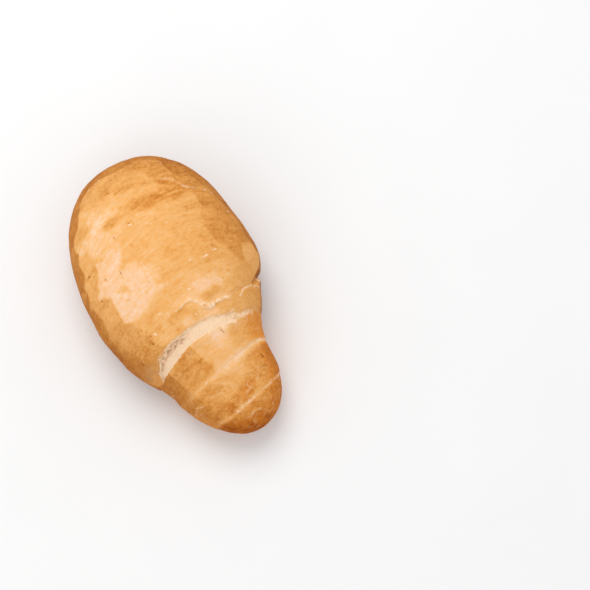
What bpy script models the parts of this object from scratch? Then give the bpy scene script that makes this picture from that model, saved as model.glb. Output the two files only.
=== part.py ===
"""A horn-shaped bread roll: a fat smooth body, rolled wraps and a bent tip.

The roll lies along X with its tip at +X and stands on Z = 0. It is one solid,
bent from a round ball: every point of the ball is moved to its place on the
roll by its station along X and its turn around X. Turns run from the +Y side
(0) over the top (a quarter) to the -Y side (a half) and on below. Metres.
"""
import math

import bmesh
import bpy
from mathutils import Matrix, Vector

# Driving dimensions: the plan
LENGTH = 0.125
BODY_HALF_WIDTH_PLUS_Y = 0.0366
BODY_HALF_WIDTH_MINUS_Y = 0.0367
BLUNT_END_FROM = -0.006
BLUNT_PLAN_POWER, BLUNT_SIDE_POWER = 2.3, 2.1
TIP_FROM, TIP_POWER = 0.030, 2.0
TIP_BEND_FROM, TIP_BEND_TO, TIP_OFFSET = 0.028, 0.062, 0.0036

# What the body loses towards the tip: (from, to, loss) along X
PLUS_Y_LOSSES = ((-0.006, 0.012, 0.0052), (0.006, 0.031, 0.0091))
MINUS_Y_LOSSES = ((-0.002, 0.020, 0.0036), (0.015, 0.037, 0.0111))

# Driving dimensions: the heights. The middle is where the roll is widest, and
# the base is sunk below Z = 0 before it is cut flat there.
BODY_HEIGHT = 0.0480
HEIGHT_LOSSES = ((-0.012, 0.028, 0.0055), (0.006, 0.044, 0.0095))
BODY_MIDDLE = 0.0195
MIDDLE_LOSSES = ((-0.002, 0.044, 0.0052),)
BASE_SUNK = 0.0026
SUNK_LOSSES = ((-0.002, 0.044, 0.0010),)
TOP_POWER, UNDER_POWER = 2.12, 2.45

# The rolled edge winds three times round the roll: (turn, station along X)
EDGE_TURNS = (0, 1, 2)
EDGE_ROUTE = (
    (-0.20, 0.0210), (0.05, 0.0205), (0.18, 0.0222), (0.25, 0.0221), (0.32, 0.0256), (0.44, 0.0294),
    (0.90, 0.0300), (1.04, 0.0312), (1.44, 0.0404), (1.94, 0.0452), (2.36, 0.0542), (2.75, 0.0560),
)
EDGE_STEP = (
    (-0.20, 0.0), (0.05, 0.0006), (0.43, 0.0007), (1.20, 0.0006), (2.40, 0.0004), (2.70, 0.0),
)
EDGE_LIP_REACH = 0.0055
EDGE_GROOVE_WIDTH, EDGE_GROOVE_SHARE = 0.0012, 0.6

# The torn band, where the body's lip has burst away from the next wrap: by turn
TEAR_WIDTH = (
    (0.00, 0.0), (0.13, 0.0031), (0.25, 0.0050), (0.33, 0.0062), (0.40, 0.0024), (0.45, 0.0),
)
TEAR_DEPTH = ((0.02, 0.0002), (0.22, 0.0005), (0.34, 0.0021), (0.40, 0.0016), (0.47, 0.0))
TEAR_WALL_INSIDE, TEAR_WALL_OUTSIDE = 0.0020, 0.0006

# The outermost fold's end: a notch at the +Y side that heals over the top, the
# round cheek that hangs over the notch and the small flap below it
FOLD_ROUTE = ((-0.20, 0.0060), (0.02, 0.0070), (0.08, 0.0112), (0.20, 0.0135), (0.27, 0.0090))
FOLD_DEPTH = ((-0.20, 0.0), (-0.04, 0.0018), (0.03, 0.0020), (0.09, 0.0006), (0.27, 0.0))
FOLD_WIDTH = 0.0016
# Each swelling beside the notch: (station, reach), (turn, reach), rise
CHEEK = ((0.0020, 0.0045), (0.02, 0.060), 0.0008)
FLAP = ((0.0100, 0.0018), (0.03, 0.035), 0.0006)

# Slow unevenness of hand-rolled dough: (waves along, waves round, phase, height)
LUMPS = ((1.6, 1.0, 0.4, 0.0003), (2.7, 2.0, 1.7, 0.0002), (4.1, 3.0, 2.6, 0.0001))

# The share of the section's depth over which all relief dies out under the roll
RELIEF_ENDS_UNDER = (0.35, 0.85)

# The mesh: rings along the roll, closest at the wraps, where they lean with the edge
SEGMENTS, RINGS = 60, 76
RING_ANGLES = ((0.0, 0.0), (0.10, 26.0), (0.70, 90.0), (1.0, 180.0))
RING_LEAN = ((-0.25, 0.0056), (0.05, 0.0), (0.25, 0.0016), (0.45, 0.0088), (0.75, 0.0056))
RING_LEAN_SHARE = ((-0.030, 0.0), (0.021, 1.0), (0.033, 0.72), (0.051, 0.25), (0.0625, 0.0))

CRUST_COLOUR = (0.62, 0.33, 0.11, 1.0)
CRUST_ROUGHNESS = 0.45


def mix(low, high, share):
    return low + (high - low) * share


def ramp(value, start, end):
    """A smooth step from 0 at start to 1 at end."""
    share = min(1.0, max(0.0, (value - start) / (end - start)))
    return share * share * (3.0 - 2.0 * share)


def bell(value, centre, reach):
    """A round rise that is 1 at its centre and dies out past its reach."""
    return math.exp(-((value - centre) / reach) ** 2)


def along(value, stops):
    """Read the smooth curve that runs level through each (place, height) stop."""
    if value <= stops[0][0]:
        return stops[0][1]
    for (start, low), (end, high) in zip(stops, stops[1:]):
        if value <= end:
            return mix(low, high, ramp(value, start, end))
    return stops[-1][1]


def straight_along(value, stops):
    """Read the straight-sided curve through each (place, height) stop."""
    for (start, low), (end, high) in zip(stops, stops[1:]):
        if value <= end:
            return mix(low, high, (value - start) / (end - start))
    return stops[-1][1]


def narrowed(size, x, losses):
    """The body's size less what each loss has taken by this station."""
    return size - sum(loss * ramp(x, start, end) for start, end, loss in losses)


def end_taper(x, blunt_power):
    """The share of the full section that is left towards the two ends."""
    if x < BLUNT_END_FROM:
        share, power = (BLUNT_END_FROM - x) / (BLUNT_END_FROM + LENGTH / 2), blunt_power
    else:
        share, power = max(0.0, x - TIP_FROM) / (LENGTH / 2 - TIP_FROM), TIP_POWER
    return max(0.0, 1.0 - share ** power) ** (1.0 / power)


def half_width(x, side):
    """From the centre line to the +Y side (side 1) or the -Y side (side -1)."""
    if side > 0:
        return narrowed(BODY_HALF_WIDTH_PLUS_Y, x, PLUS_Y_LOSSES)
    return narrowed(BODY_HALF_WIDTH_MINUS_Y, x, MINUS_Y_LOSSES)


def squared_circle(angle, power):
    """A point of the unit section: a circle squared up by its power."""
    across, up = math.cos(angle), math.sin(angle)
    return (math.copysign(abs(across) ** (2.0 / power), across),
            math.copysign(abs(up) ** (2.0 / power), up))


def section_point(x, angle):
    """The smooth roll's y and z at a station, before its relief."""
    middle = narrowed(BODY_MIDDLE, x, MIDDLE_LOSSES)
    if math.sin(angle) >= 0.0:
        reach, power = narrowed(BODY_HEIGHT, x, HEIGHT_LOSSES) - middle, TOP_POWER
    else:
        reach, power = middle + narrowed(BASE_SUNK, x, SUNK_LOSSES), UNDER_POWER
    across, up = squared_circle(angle, power)
    centre_y = TIP_OFFSET * ramp(x, TIP_BEND_FROM, TIP_BEND_TO)
    y = centre_y + across * half_width(x, across) * end_taper(x, BLUNT_PLAN_POWER)
    return y, middle + up * reach * end_taper(x, BLUNT_SIDE_POWER)


def rolled_edge_relief(x, turn):
    """The step down from each wrap to the one inside it, with a groove at its foot."""
    relief = 0.0
    for whole in EDGE_TURNS:
        wound = turn + whole
        past = x - along(wound, EDGE_ROUTE) + along(wound, TEAR_WIDTH)
        lip = bell(past, -0.5 * EDGE_LIP_REACH, EDGE_LIP_REACH)
        lip *= ramp(-past, 0.0, EDGE_GROOVE_WIDTH)
        groove = bell(past, 0.5 * EDGE_GROOVE_WIDTH, EDGE_GROOVE_WIDTH)
        relief += along(wound, EDGE_STEP) * (lip - EDGE_GROOVE_SHARE * groove)
    return relief


def tear_relief(x, turn):
    """The sunken floor of the torn band, between the body's lip and the next wrap."""
    wrap_edge = along(turn, EDGE_ROUTE)
    lip = wrap_edge - along(turn, TEAR_WIDTH)
    below_lip = ramp(x, lip - TEAR_WALL_OUTSIDE, lip + TEAR_WALL_INSIDE)
    onto_wrap = ramp(x, wrap_edge - TEAR_WALL_INSIDE, wrap_edge + TEAR_WALL_OUTSIDE)
    return -along(turn, TEAR_DEPTH) * below_lip * (1.0 - onto_wrap)


def swelling(x, turn, shape):
    (station, station_reach), (middle_turn, turn_reach), rise = shape
    return rise * bell(x, station, station_reach) * bell(turn, middle_turn, turn_reach)


def fold_relief(x, turn):
    """The notch of the outermost fold, between its cheek and its flap."""
    notch = along(turn, FOLD_DEPTH) * bell(x, along(turn, FOLD_ROUTE), FOLD_WIDTH)
    return swelling(x, turn, CHEEK) + swelling(x, turn, FLAP) - notch


def lump_relief(x, turn):
    relief = 0.0
    for waves_along, waves_round, phase, height in LUMPS:
        swing = math.tau * (waves_along * x / LENGTH + waves_round * turn) + phase
        relief += height * math.sin(swing)
    return relief


def ring_station(share, turn):
    """A ring's station; rings lean as the rolled edge does, to keep its step crisp."""
    angle = math.radians(straight_along(share, RING_ANGLES))
    x = 0.5 * LENGTH * math.cos(angle)
    return x + along(turn, RING_LEAN) * along(x, RING_LEAN_SHARE)


def roll_point(share, angle):
    """Where a point of the ball goes: share is its way from the tip to the blunt end."""
    turn = angle / math.tau
    if turn > 0.75:
        turn -= 1.0
    x = ring_station(share, turn)
    y, z = section_point(x, angle)
    relief = rolled_edge_relief(x, turn) + tear_relief(x, turn)
    relief += fold_relief(x, turn) + lump_relief(x, turn)
    relief *= end_taper(x, BLUNT_SIDE_POWER)
    relief *= 1.0 - ramp(-math.sin(angle), *RELIEF_ENDS_UNDER)
    y += relief * math.cos(angle)
    z += relief * math.sin(angle)
    return Vector((x, y, max(0.0, z)))


def bend_ball_to_roll(bm):
    for vert in bm.verts:
        share = math.acos(max(-1.0, min(1.0, vert.co.x))) / math.pi
        angle = math.atan2(vert.co.z, vert.co.y) % math.tau
        vert.co = roll_point(share, angle)


def stand_at_origin(bm):
    """Centre the roll over the origin, with its flat base on Z = 0."""
    lows = [min(vert.co[axis] for vert in bm.verts) for axis in range(3)]
    highs = [max(vert.co[axis] for vert in bm.verts) for axis in range(3)]
    shift = Vector((-0.5 * (lows[0] + highs[0]), -0.5 * (lows[1] + highs[1]), -lows[2]))
    bmesh.ops.translate(bm, vec=shift, verts=bm.verts)


def crust_material():
    material = bpy.data.materials.new("crust")
    material.use_nodes = True
    shader = material.node_tree.nodes["Principled BSDF"]
    shader.inputs["Base Color"].default_value = CRUST_COLOUR
    shader.inputs["Roughness"].default_value = CRUST_ROUGHNESS
    shader.inputs["Metallic"].default_value = 0.0
    return material


def make_roll(collection):
    bm = bmesh.new()
    lay_along_x = Matrix.Rotation(math.radians(90.0), 4, "Y")
    bmesh.ops.create_uvsphere(
        bm, u_segments=SEGMENTS, v_segments=RINGS, radius=1.0, matrix=lay_along_x)
    bend_ball_to_roll(bm)
    stand_at_origin(bm)
    mesh = bpy.data.meshes.new("bread_roll")
    bm.to_mesh(mesh)
    bm.free()
    mesh.shade_smooth()
    mesh.materials.append(crust_material())
    collection.objects.link(bpy.data.objects.new("bread_roll", mesh))


def clear_scene():
    for thing in list(bpy.data.objects):
        bpy.data.objects.remove(thing, do_unlink=True)


def main():
    clear_scene()
    collection = bpy.data.collections.new("horn_bread_roll")
    bpy.context.scene.collection.children.link(collection)
    make_roll(collection)


main()
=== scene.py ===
# %% [markdown]
# # A horn-shaped bread roll
#
# A strip of dough is rolled up from its wide end, so that one fat smooth body and
# a few narrower wraps show. In the oven the body bursts away from the next wrap and
# bares a band of torn crumb. This lesson models that roll and bakes its crust with
# shader nodes. The model's size and place come from a fixed frame, which is loaded
# first and never changed.

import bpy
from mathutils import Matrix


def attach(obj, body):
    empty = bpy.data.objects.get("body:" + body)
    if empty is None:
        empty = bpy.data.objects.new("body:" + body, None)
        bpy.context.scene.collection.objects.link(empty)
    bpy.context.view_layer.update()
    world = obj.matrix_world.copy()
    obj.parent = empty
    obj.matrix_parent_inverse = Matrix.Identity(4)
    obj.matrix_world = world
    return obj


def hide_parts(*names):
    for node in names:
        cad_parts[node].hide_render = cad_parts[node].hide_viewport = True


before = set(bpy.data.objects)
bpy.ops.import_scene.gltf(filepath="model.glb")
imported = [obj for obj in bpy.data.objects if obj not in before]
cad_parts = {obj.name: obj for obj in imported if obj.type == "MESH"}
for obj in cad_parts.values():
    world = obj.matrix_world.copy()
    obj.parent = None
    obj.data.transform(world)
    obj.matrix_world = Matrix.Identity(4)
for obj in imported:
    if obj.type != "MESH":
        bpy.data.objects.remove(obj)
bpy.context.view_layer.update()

# %% Tools and units
import math

import bmesh
import bpy
import numpy as np
from mathutils import Matrix, Vector, noise

MM = 0.001
BODY, NODE, SLOT = "root", "bread_roll", "crust"

# %% [markdown]
# ## The camera
#
# The roll is seen from almost straight above, from the side of its -Y flank. A long
# lens from 600 mm away keeps the fat end and the tip at one scale. The camera could be
# turned by hand, but three directions worked out from its turn and its height give
# the same view each time.

# %% Camera
CAMERA_TURN, CAMERA_HEIGHT = math.radians(62.2), math.radians(78.0)
CAMERA_DISTANCE, VIEW_WIDTH, SENSOR_WIDTH = 0.600, 0.24131, 36.0
AIM_HEIGHT, AIM_RIGHT, AIM_UP = 0.020, 0.04646, 0.00068

to_camera = Vector((
    math.sin(CAMERA_TURN) * math.cos(CAMERA_HEIGHT),
    -math.cos(CAMERA_TURN) * math.cos(CAMERA_HEIGHT),
    math.sin(CAMERA_HEIGHT)))
picture_right = Vector((math.cos(CAMERA_TURN), math.sin(CAMERA_TURN), 0.0))
picture_up = to_camera.cross(picture_right)
aim = Vector((0.0, 0.0, AIM_HEIGHT)) + AIM_RIGHT * picture_right + AIM_UP * picture_up

camera_data = bpy.data.cameras.new("camera")
camera_data.sensor_width = SENSOR_WIDTH
camera_data.lens = SENSOR_WIDTH * CAMERA_DISTANCE / VIEW_WIDTH
camera = bpy.data.objects.new("camera", camera_data)
camera_axes = Matrix((picture_right, picture_up, to_camera)).transposed().to_4x4()
camera.matrix_world = Matrix.Translation(aim + CAMERA_DISTANCE * to_camera) @ camera_axes
bpy.context.scene.collection.objects.link(camera)
bpy.context.scene.camera = camera
print("lens", round(camera_data.lens, 1), "mm")

# %% [markdown]
# ## Curves that the dough follows
#
# The whole shape is worked out from smooth steps. A step that climbs from 0 to 1
# between two places makes a narrowing, a lip or the wall of a tear. A round rise makes
# a swelling or, turned over, a groove. NumPy works them out for all points at once.

# %% Smooth steps and rises
def ramp(value, start, end):
    """A smooth step from 0 at start to 1 at end."""
    share = np.clip((value - start) / (end - start), 0.0, 1.0)
    return share * share * (3.0 - 2.0 * share)


def fall(value, start, end):
    """A smooth step from 1 at start to 0 at end."""
    return 1.0 - ramp(value, start, end)


def bell(value, centre, reach):
    """A round rise that is 1 at its centre and dies out past its reach."""
    return np.exp(-((value - centre) / reach) ** 2)


def along(value, stops):
    """Read the smooth curve that runs level through each (place, height) stop."""
    height = np.full(np.shape(value), stops[0][1])
    for (start, low), (end, high) in zip(stops, stops[1:]):
        height = height + (high - low) * ramp(value, start, end)
    return height


def straight_along(value, stops):
    """Read the straight-sided curve through each (place, height) stop."""
    places, heights = zip(*stops)
    return np.interp(value, places, heights)


# %% [markdown]
# ## The smooth roll
#
# The roll lies along X with its tip at +X. A point on it has a station along X and a
# turn round X: 0 at the +Y side, a quarter on top, a half at the -Y side. The section
# is a circle that is squared up a little, wider than high, and each station takes its
# width and height from the body's size less what the body has lost by there.

# %% Sizes of the smooth roll
LENGTH = 0.125
BODY_HALF_WIDTH_PLUS_Y = 0.0366
BODY_HALF_WIDTH_MINUS_Y = 0.0367
BLUNT_END_FROM = -0.006
BLUNT_PLAN_POWER, BLUNT_SIDE_POWER = 2.3, 2.1
TIP_FROM, TIP_POWER = 0.030, 2.0
TIP_BEND_FROM, TIP_BEND_TO, TIP_OFFSET = 0.028, 0.062, 0.0036
PLUS_Y_LOSSES = ((-0.006, 0.012, 0.0052), (0.006, 0.031, 0.0091))
MINUS_Y_LOSSES = ((-0.002, 0.020, 0.0036), (0.015, 0.037, 0.0111))
BODY_HEIGHT = 0.0480
HEIGHT_LOSSES = ((-0.012, 0.028, 0.0055), (0.006, 0.044, 0.0095))
BODY_MIDDLE = 0.0195
MIDDLE_LOSSES = ((-0.002, 0.044, 0.0052),)
BASE_SUNK = 0.0026
SUNK_LOSSES = ((-0.002, 0.044, 0.0010),)
TOP_POWER, UNDER_POWER = 2.12, 2.45


# %% The section at a station
def narrowed(size, x, losses):
    """The body's size less what each loss has taken by this station."""
    return size - sum(loss * ramp(x, start, end) for start, end, loss in losses)


def end_taper(x, blunt_power):
    """The share of the full section that is left towards the two ends."""
    to_blunt = np.clip((BLUNT_END_FROM - x) / (BLUNT_END_FROM + LENGTH / 2), 0.0, 1.0)
    to_tip = np.clip((x - TIP_FROM) / (LENGTH / 2 - TIP_FROM), 0.0, 1.0)
    blunt_share = (1.0 - to_blunt ** blunt_power) ** (1.0 / blunt_power)
    return blunt_share * (1.0 - to_tip ** TIP_POWER) ** (1.0 / TIP_POWER)


def section_point(x, angle):
    """The smooth roll's y and z at a station."""
    across, up = np.cos(angle), np.sin(angle)
    middle = narrowed(BODY_MIDDLE, x, MIDDLE_LOSSES)
    top_reach = narrowed(BODY_HEIGHT, x, HEIGHT_LOSSES) - middle
    under_reach = middle + narrowed(BASE_SUNK, x, SUNK_LOSSES)
    reach = np.where(up >= 0.0, top_reach, under_reach)
    power = np.where(up >= 0.0, TOP_POWER, UNDER_POWER)
    plus_y = narrowed(BODY_HALF_WIDTH_PLUS_Y, x, PLUS_Y_LOSSES)
    minus_y = narrowed(BODY_HALF_WIDTH_MINUS_Y, x, MINUS_Y_LOSSES)
    half_width = np.where(across > 0.0, plus_y, minus_y)
    out = np.sign(across) * np.abs(across) ** (2.0 / power) * half_width
    high = np.sign(up) * np.abs(up) ** (2.0 / power) * reach
    centre_y = TIP_OFFSET * ramp(x, TIP_BEND_FROM, TIP_BEND_TO)
    y = centre_y + out * end_taper(x, BLUNT_PLAN_POWER)
    return y, middle + high * end_taper(x, BLUNT_SIDE_POWER)


# %% [markdown]
# ## Wraps, tear and fold
#
# The rolled edge winds three times round the roll, further along X with each turn, so
# one route of (turn, station) stops places all of its steps. The first time round, the
# body's lip has drawn back from that edge and left the torn band between them. The
# outermost fold ends in a notch at the +Y side, with a round cheek hanging over it.

# %% Sizes of the wraps, the tear and the fold
EDGE_TURNS = (0, 1, 2)
EDGE_ROUTE = (
    (-0.20, 0.0210), (0.05, 0.0205), (0.18, 0.0222), (0.25, 0.0222), (0.268, 0.0227), (0.285, 0.0233),
    (0.303, 0.0242), (0.32, 0.0252), (0.338, 0.0261), (0.355, 0.0269), (0.373, 0.0275), (0.39, 0.0281),
    (0.44, 0.0294), (0.90, 0.0300), (1.04, 0.0312), (1.44, 0.0404), (1.94, 0.0452), (2.36, 0.0542),
    (2.75, 0.0560),
)
EDGE_STEP = (
    (-0.20, 0.0), (0.05, 0.0005), (0.43, 0.0006), (1.05, 0.0005), (1.35, 0.0002), (2.10, 0.0004),
    (2.40, 0.0003), (2.70, 0.0),
)
EDGE_LIP_REACH, EDGE_DROP = 0.0050, 0.0007
EDGE_GROOVE_WIDTH, EDGE_GROOVE_SHARE = 0.0008, 0.2
TEAR_WIDTH = (
    (0.00, 0.0), (0.13, 0.0017), (0.17, 0.0030), (0.22, 0.0046), (0.285, 0.0049), (0.32, 0.0056),
    (0.355, 0.0053), (0.39, 0.0030), (0.44, 0.0),
)
TEAR_DEPTH = ((0.06, 0.0001), (0.22, 0.0002), (0.33, 0.0013), (0.40, 0.0008), (0.46, 0.0))
TEAR_WALL_INSIDE, TEAR_WALL_OUTSIDE = 0.0008, 0.0003
LIP_BEAD, LIP_BEAD_REACH, BEAD_FULL_DEPTH = 0.00035, 0.0009, 0.0010
FOLD_ROUTE = ((-0.20, 0.0060), (0.02, 0.0070), (0.08, 0.0112), (0.20, 0.0135), (0.27, 0.0090))
FOLD_DEPTH = ((-0.20, 0.0), (-0.04, 0.0018), (0.03, 0.0022), (0.09, 0.0007), (0.20, 0.0))
FOLD_WIDTH = 0.0013
CHEEK = ((0.0020, 0.0045), (0.02, 0.060), 0.0008)
FLAP = ((0.0100, 0.0018), (0.03, 0.035), 0.0006)
LUMPS = ((1.6, 1.0, 0.4, 0.0003), (2.7, 2.0, 1.7, 0.0002), (4.1, 3.0, 2.6, 0.0001))
RELIEF_ENDS_UNDER = (0.35, 0.85)


# %% How far each point stands out from the smooth roll
def lip_station(turn):
    """Where the body's lip runs, on the blunt side of the tear."""
    return along(turn, EDGE_ROUTE) - along(turn, TEAR_WIDTH)


def rolled_edge_relief(x, turn):
    """The step down from each wrap to the one inside it, with a groove at its foot."""
    relief = 0.0
    for whole in EDGE_TURNS:
        wound = turn + whole
        past = x - lip_station(wound)
        lip = bell(past, -0.5 * EDGE_LIP_REACH, EDGE_LIP_REACH) * ramp(-past, 0.0, EDGE_DROP)
        groove = bell(past, 0.5 * EDGE_GROOVE_WIDTH, EDGE_GROOVE_WIDTH)
        relief = relief + along(wound, EDGE_STEP) * (lip - EDGE_GROOVE_SHARE * groove)
    return relief


def tear_openness(x, turn):
    """1 on the floor of the torn band and 0 outside its walls."""
    lip, wrap_edge = lip_station(turn), along(turn, EDGE_ROUTE)
    below_lip = ramp(x, lip - TEAR_WALL_OUTSIDE, lip + TEAR_WALL_INSIDE)
    onto_wrap = ramp(x, wrap_edge - TEAR_WALL_INSIDE, wrap_edge + TEAR_WALL_OUTSIDE)
    return below_lip * (1.0 - onto_wrap)


def tear_relief(x, turn):
    """The sunken floor of the torn band and the bead along the body's lip."""
    depth = along(turn, TEAR_DEPTH)
    bead = LIP_BEAD * bell(x, lip_station(turn) - LIP_BEAD_REACH, LIP_BEAD_REACH)
    return bead * ramp(depth, 0.0, BEAD_FULL_DEPTH) - depth * tear_openness(x, turn)


def swelling(x, turn, shape):
    """A round swelling of the dough."""
    (station, station_reach), (middle_turn, turn_reach), rise = shape
    return rise * bell(x, station, station_reach) * bell(turn, middle_turn, turn_reach)


def fold_relief(x, turn):
    """The notch of the outermost fold, between its cheek and its flap."""
    notch = along(turn, FOLD_DEPTH) * bell(x, along(turn, FOLD_ROUTE), FOLD_WIDTH)
    return swelling(x, turn, CHEEK) + swelling(x, turn, FLAP) - notch


def lump_relief(x, turn):
    """The slow unevenness of dough that was rolled by hand."""
    relief = 0.0
    for waves_along, waves_round, phase, height in LUMPS:
        swing = math.tau * (waves_along * x / LENGTH + waves_round * turn) + phase
        relief = relief + height * np.sin(swing)
    return relief


def stand_out(x, turn, relief):
    """Points that stand out from the smooth roll by the relief, less towards its ends."""
    angle = turn * math.tau
    y, z = section_point(x, angle)
    relief = relief * end_taper(x, BLUNT_SIDE_POWER)
    return np.stack((x, y + relief * np.cos(angle), z + relief * np.sin(angle)), axis=-1)


def place_on_roll(x, turn):
    """Points of the roll with all of its relief, which ends under the roll."""
    relief = rolled_edge_relief(x, turn) + tear_relief(x, turn)
    relief = relief + fold_relief(x, turn) + lump_relief(x, turn)
    return stand_out(x, turn, relief * fall(-np.sin(turn * math.tau), *RELIEF_ENDS_UNDER))


across_middle = section_point(np.zeros(2), np.array((0.0, math.pi)))[0] / MM
print("the smooth roll is", round(float(np.ptp(across_middle)), 1), "mm wide at its middle")


# %% [markdown]
# ## Bending a ball into the roll
#
# The roll could be sculpted from a cage, but a ball already has closed ends and rings
# that run round it. Its rings are spread so that they lie closest at the tear, its
# segments so that most of them are on top, and then every point moves to its place on
# the roll. Small helpers read and write a mesh's points as one array.

# %% Points of a mesh as one array
def read_points(mesh):
    flat = np.zeros(len(mesh.vertices) * 3)
    mesh.vertices.foreach_get("co", flat)
    return flat.reshape(-1, 3)


def write_points(mesh, points):
    mesh.vertices.foreach_set("co", points.ravel())
    mesh.update()


def read_normals(mesh):
    flat = np.zeros(len(mesh.vertices) * 3)
    mesh.vertex_normals.foreach_get("vector", flat)
    return flat.reshape(-1, 3)


def write_fields(mesh, fields):
    """Store one number for each point under each name, for the shader to read."""
    for name, values in fields.items():
        stored = mesh.attributes.new(name, "FLOAT", "POINT")
        stored.data.foreach_set("value", np.ascontiguousarray(values, dtype=np.float32))
    print(mesh.name, "stores", ", ".join(fields))


SEED_STEPS = (17.3, 5.1, 9.7)
OCTAVE_FADE, OCTAVE_GAP = 0.6, 2.1


def smooth_noise(points, size, seed, octaves=1):
    """Even noise between about -1 and 1, whose blobs are as large as size."""
    shift = Vector([seed * step for step in SEED_STEPS])
    if octaves == 1:
        return np.array([noise.noise(Vector(p) / size + shift) for p in points])
    return np.array([
        noise.fractal(Vector(p) / size + shift, OCTAVE_FADE, OCTAVE_GAP, octaves) for p in points])


# %% Make the ball and find each point's station and turn
SEGMENTS, RINGS = 330, 298
RING_ANGLES = ((0.0, 0.0), (0.07, 20.0), (0.29, 58.0), (0.60, 86.0), (1.0, 180.0))
RING_LEAN = ((-0.25, 0.0056), (0.05, 0.0), (0.25, 0.0016), (0.45, 0.0088), (0.75, 0.0056))
RING_LEAN_SHARE = ((-0.030, 0.0), (0.021, 1.0), (0.033, 0.72), (0.051, 0.25), (0.0625, 0.0))
TOP_SEGMENT_SHARE, LAST_TURN = 0.68, 0.75


def new_ball(name, segments, rings):
    """A unit ball whose poles lie on X, as a mesh."""
    bm = bmesh.new()
    lay_along_x = Matrix.Rotation(math.radians(90.0), 4, "Y")
    bmesh.ops.create_uvsphere(
        bm, u_segments=segments, v_segments=rings, radius=1.0, matrix=lay_along_x)
    mesh = bpy.data.meshes.new(name)
    bm.to_mesh(mesh)
    bm.free()
    return mesh


def ball_shares(mesh):
    """Each point's way from pole to pole and its way round, both from 0 to 1."""
    x, y, z = read_points(mesh).T
    return np.arccos(np.clip(x, -1.0, 1.0)) / math.pi, np.arctan2(z, y) / math.tau % 1.0


roll_mesh = new_ball("roll_crust", SEGMENTS, RINGS)
pole_share, round_share = ball_shares(roll_mesh)
turns = straight_along(round_share, ((0.0, 0.0), (TOP_SEGMENT_SHARE, 0.5), (1.0, 1.0)))
turns = np.where(turns > LAST_TURN, turns - 1.0, turns)
stations = 0.5 * LENGTH * np.cos(np.radians(straight_along(pole_share, RING_ANGLES)))
stations = stations + along(turns, RING_LEAN) * along(stations, RING_LEAN_SHARE)
print("the ball has", len(roll_mesh.polygons), "faces")

# %% [markdown]
# ## Ragged edges
#
# Dough tears and stretches unevenly. Before the points are placed, the stations that
# the tear and the wraps are read at are shifted a little by noise, so that no edge
# runs as a perfect curve. The base is cut flat with a rounded corner, as a roll that
# has risen on a tray.

# %% Place the points on the roll
RAGGED_SIZE, RAGGED_SHIFT = 0.0045, 0.00022
STEADY_TURN, STEADY_REACH, STEADY_SHARE = 0.33, 0.10, 0.7
BASE_ROUNDING = 0.0008

smooth_points = stand_out(stations, turns, 0.0)
write_points(roll_mesh, smooth_points)
smooth_normals = read_normals(roll_mesh)
ragged = RAGGED_SHIFT * smooth_noise(smooth_points, RAGGED_SIZE, seed=1)
ragged = ragged * (1.0 - STEADY_SHARE * bell(turns, STEADY_TURN, STEADY_REACH))
ragged_stations = stations + ragged
placed = place_on_roll(ragged_stations, turns)
placed[:, 0] = stations


def cut_flat(z):
    """Keep what is above the base and round the corner where it is cut."""
    return 0.5 * (z + np.sqrt(z * z + BASE_ROUNDING ** 2))


placed[:, 2] = cut_flat(placed[:, 2])
to_origin = -0.5 * (placed.min(axis=0) + placed.max(axis=0))
to_origin[2] = -placed[:, 2].min()
write_points(roll_mesh, placed + to_origin)
print("moved to the origin by", np.round(to_origin / MM, 2), "mm")

# %% [markdown]
# ## Marks on the crust
#
# A baked crust is never plain: it has a crease where the strip's edge was pressed
# down, a healed wrinkle, pores where bubbles opened and short slits. Each is placed in
# millimetres seen from above, and moved along the surface's own normal.

# %% Where the marks are, in millimetres
WRINKLE = (
    (8.9, -3.3), (8.2, -1.0), (7.9, 0.9), (8.8, 3.0), (10.6, 4.1), (12.8, 4.9), (14.4, 7.2),
    (13.9, 9.0), (13.0, 11.5), (13.1, 14.2), (13.9, 15.6),
)
WRINKLE_PAD = (
    (7.0, -0.5), (7.4, 0.7), (8.6, 3.4), (9.2, 4.8), (11.2, 6.2), (12.7, 7.6), (12.9, 9.2), (12.6, 11.2),
    (12.2, 13.7), (13.9, 14.9), (13.6, 12.4), (14.3, 9.0), (14.9, 7.4), (13.3, 4.9), (11.6, 4.2),
    (9.6, 2.3), (8.5, 0.2), (9.2, -3.4),
)
LOW_WRINKLE = ((13.5, 1.1), (16.4, 2.4), (17.4, 6.8), (17.6, 12.0))
CREASE = ((-42.9, 12.5), (-39.8, 15.6), (-36.2, 18.9), (-34.0, 21.8))
CREASE_RIDGE = ((-43.6, 12.8), (-41.4, 17.5), (-37.4, 19.8), (-34.8, 23.0), (-33.0, 26.0), (-31.0, 30.0))
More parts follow.
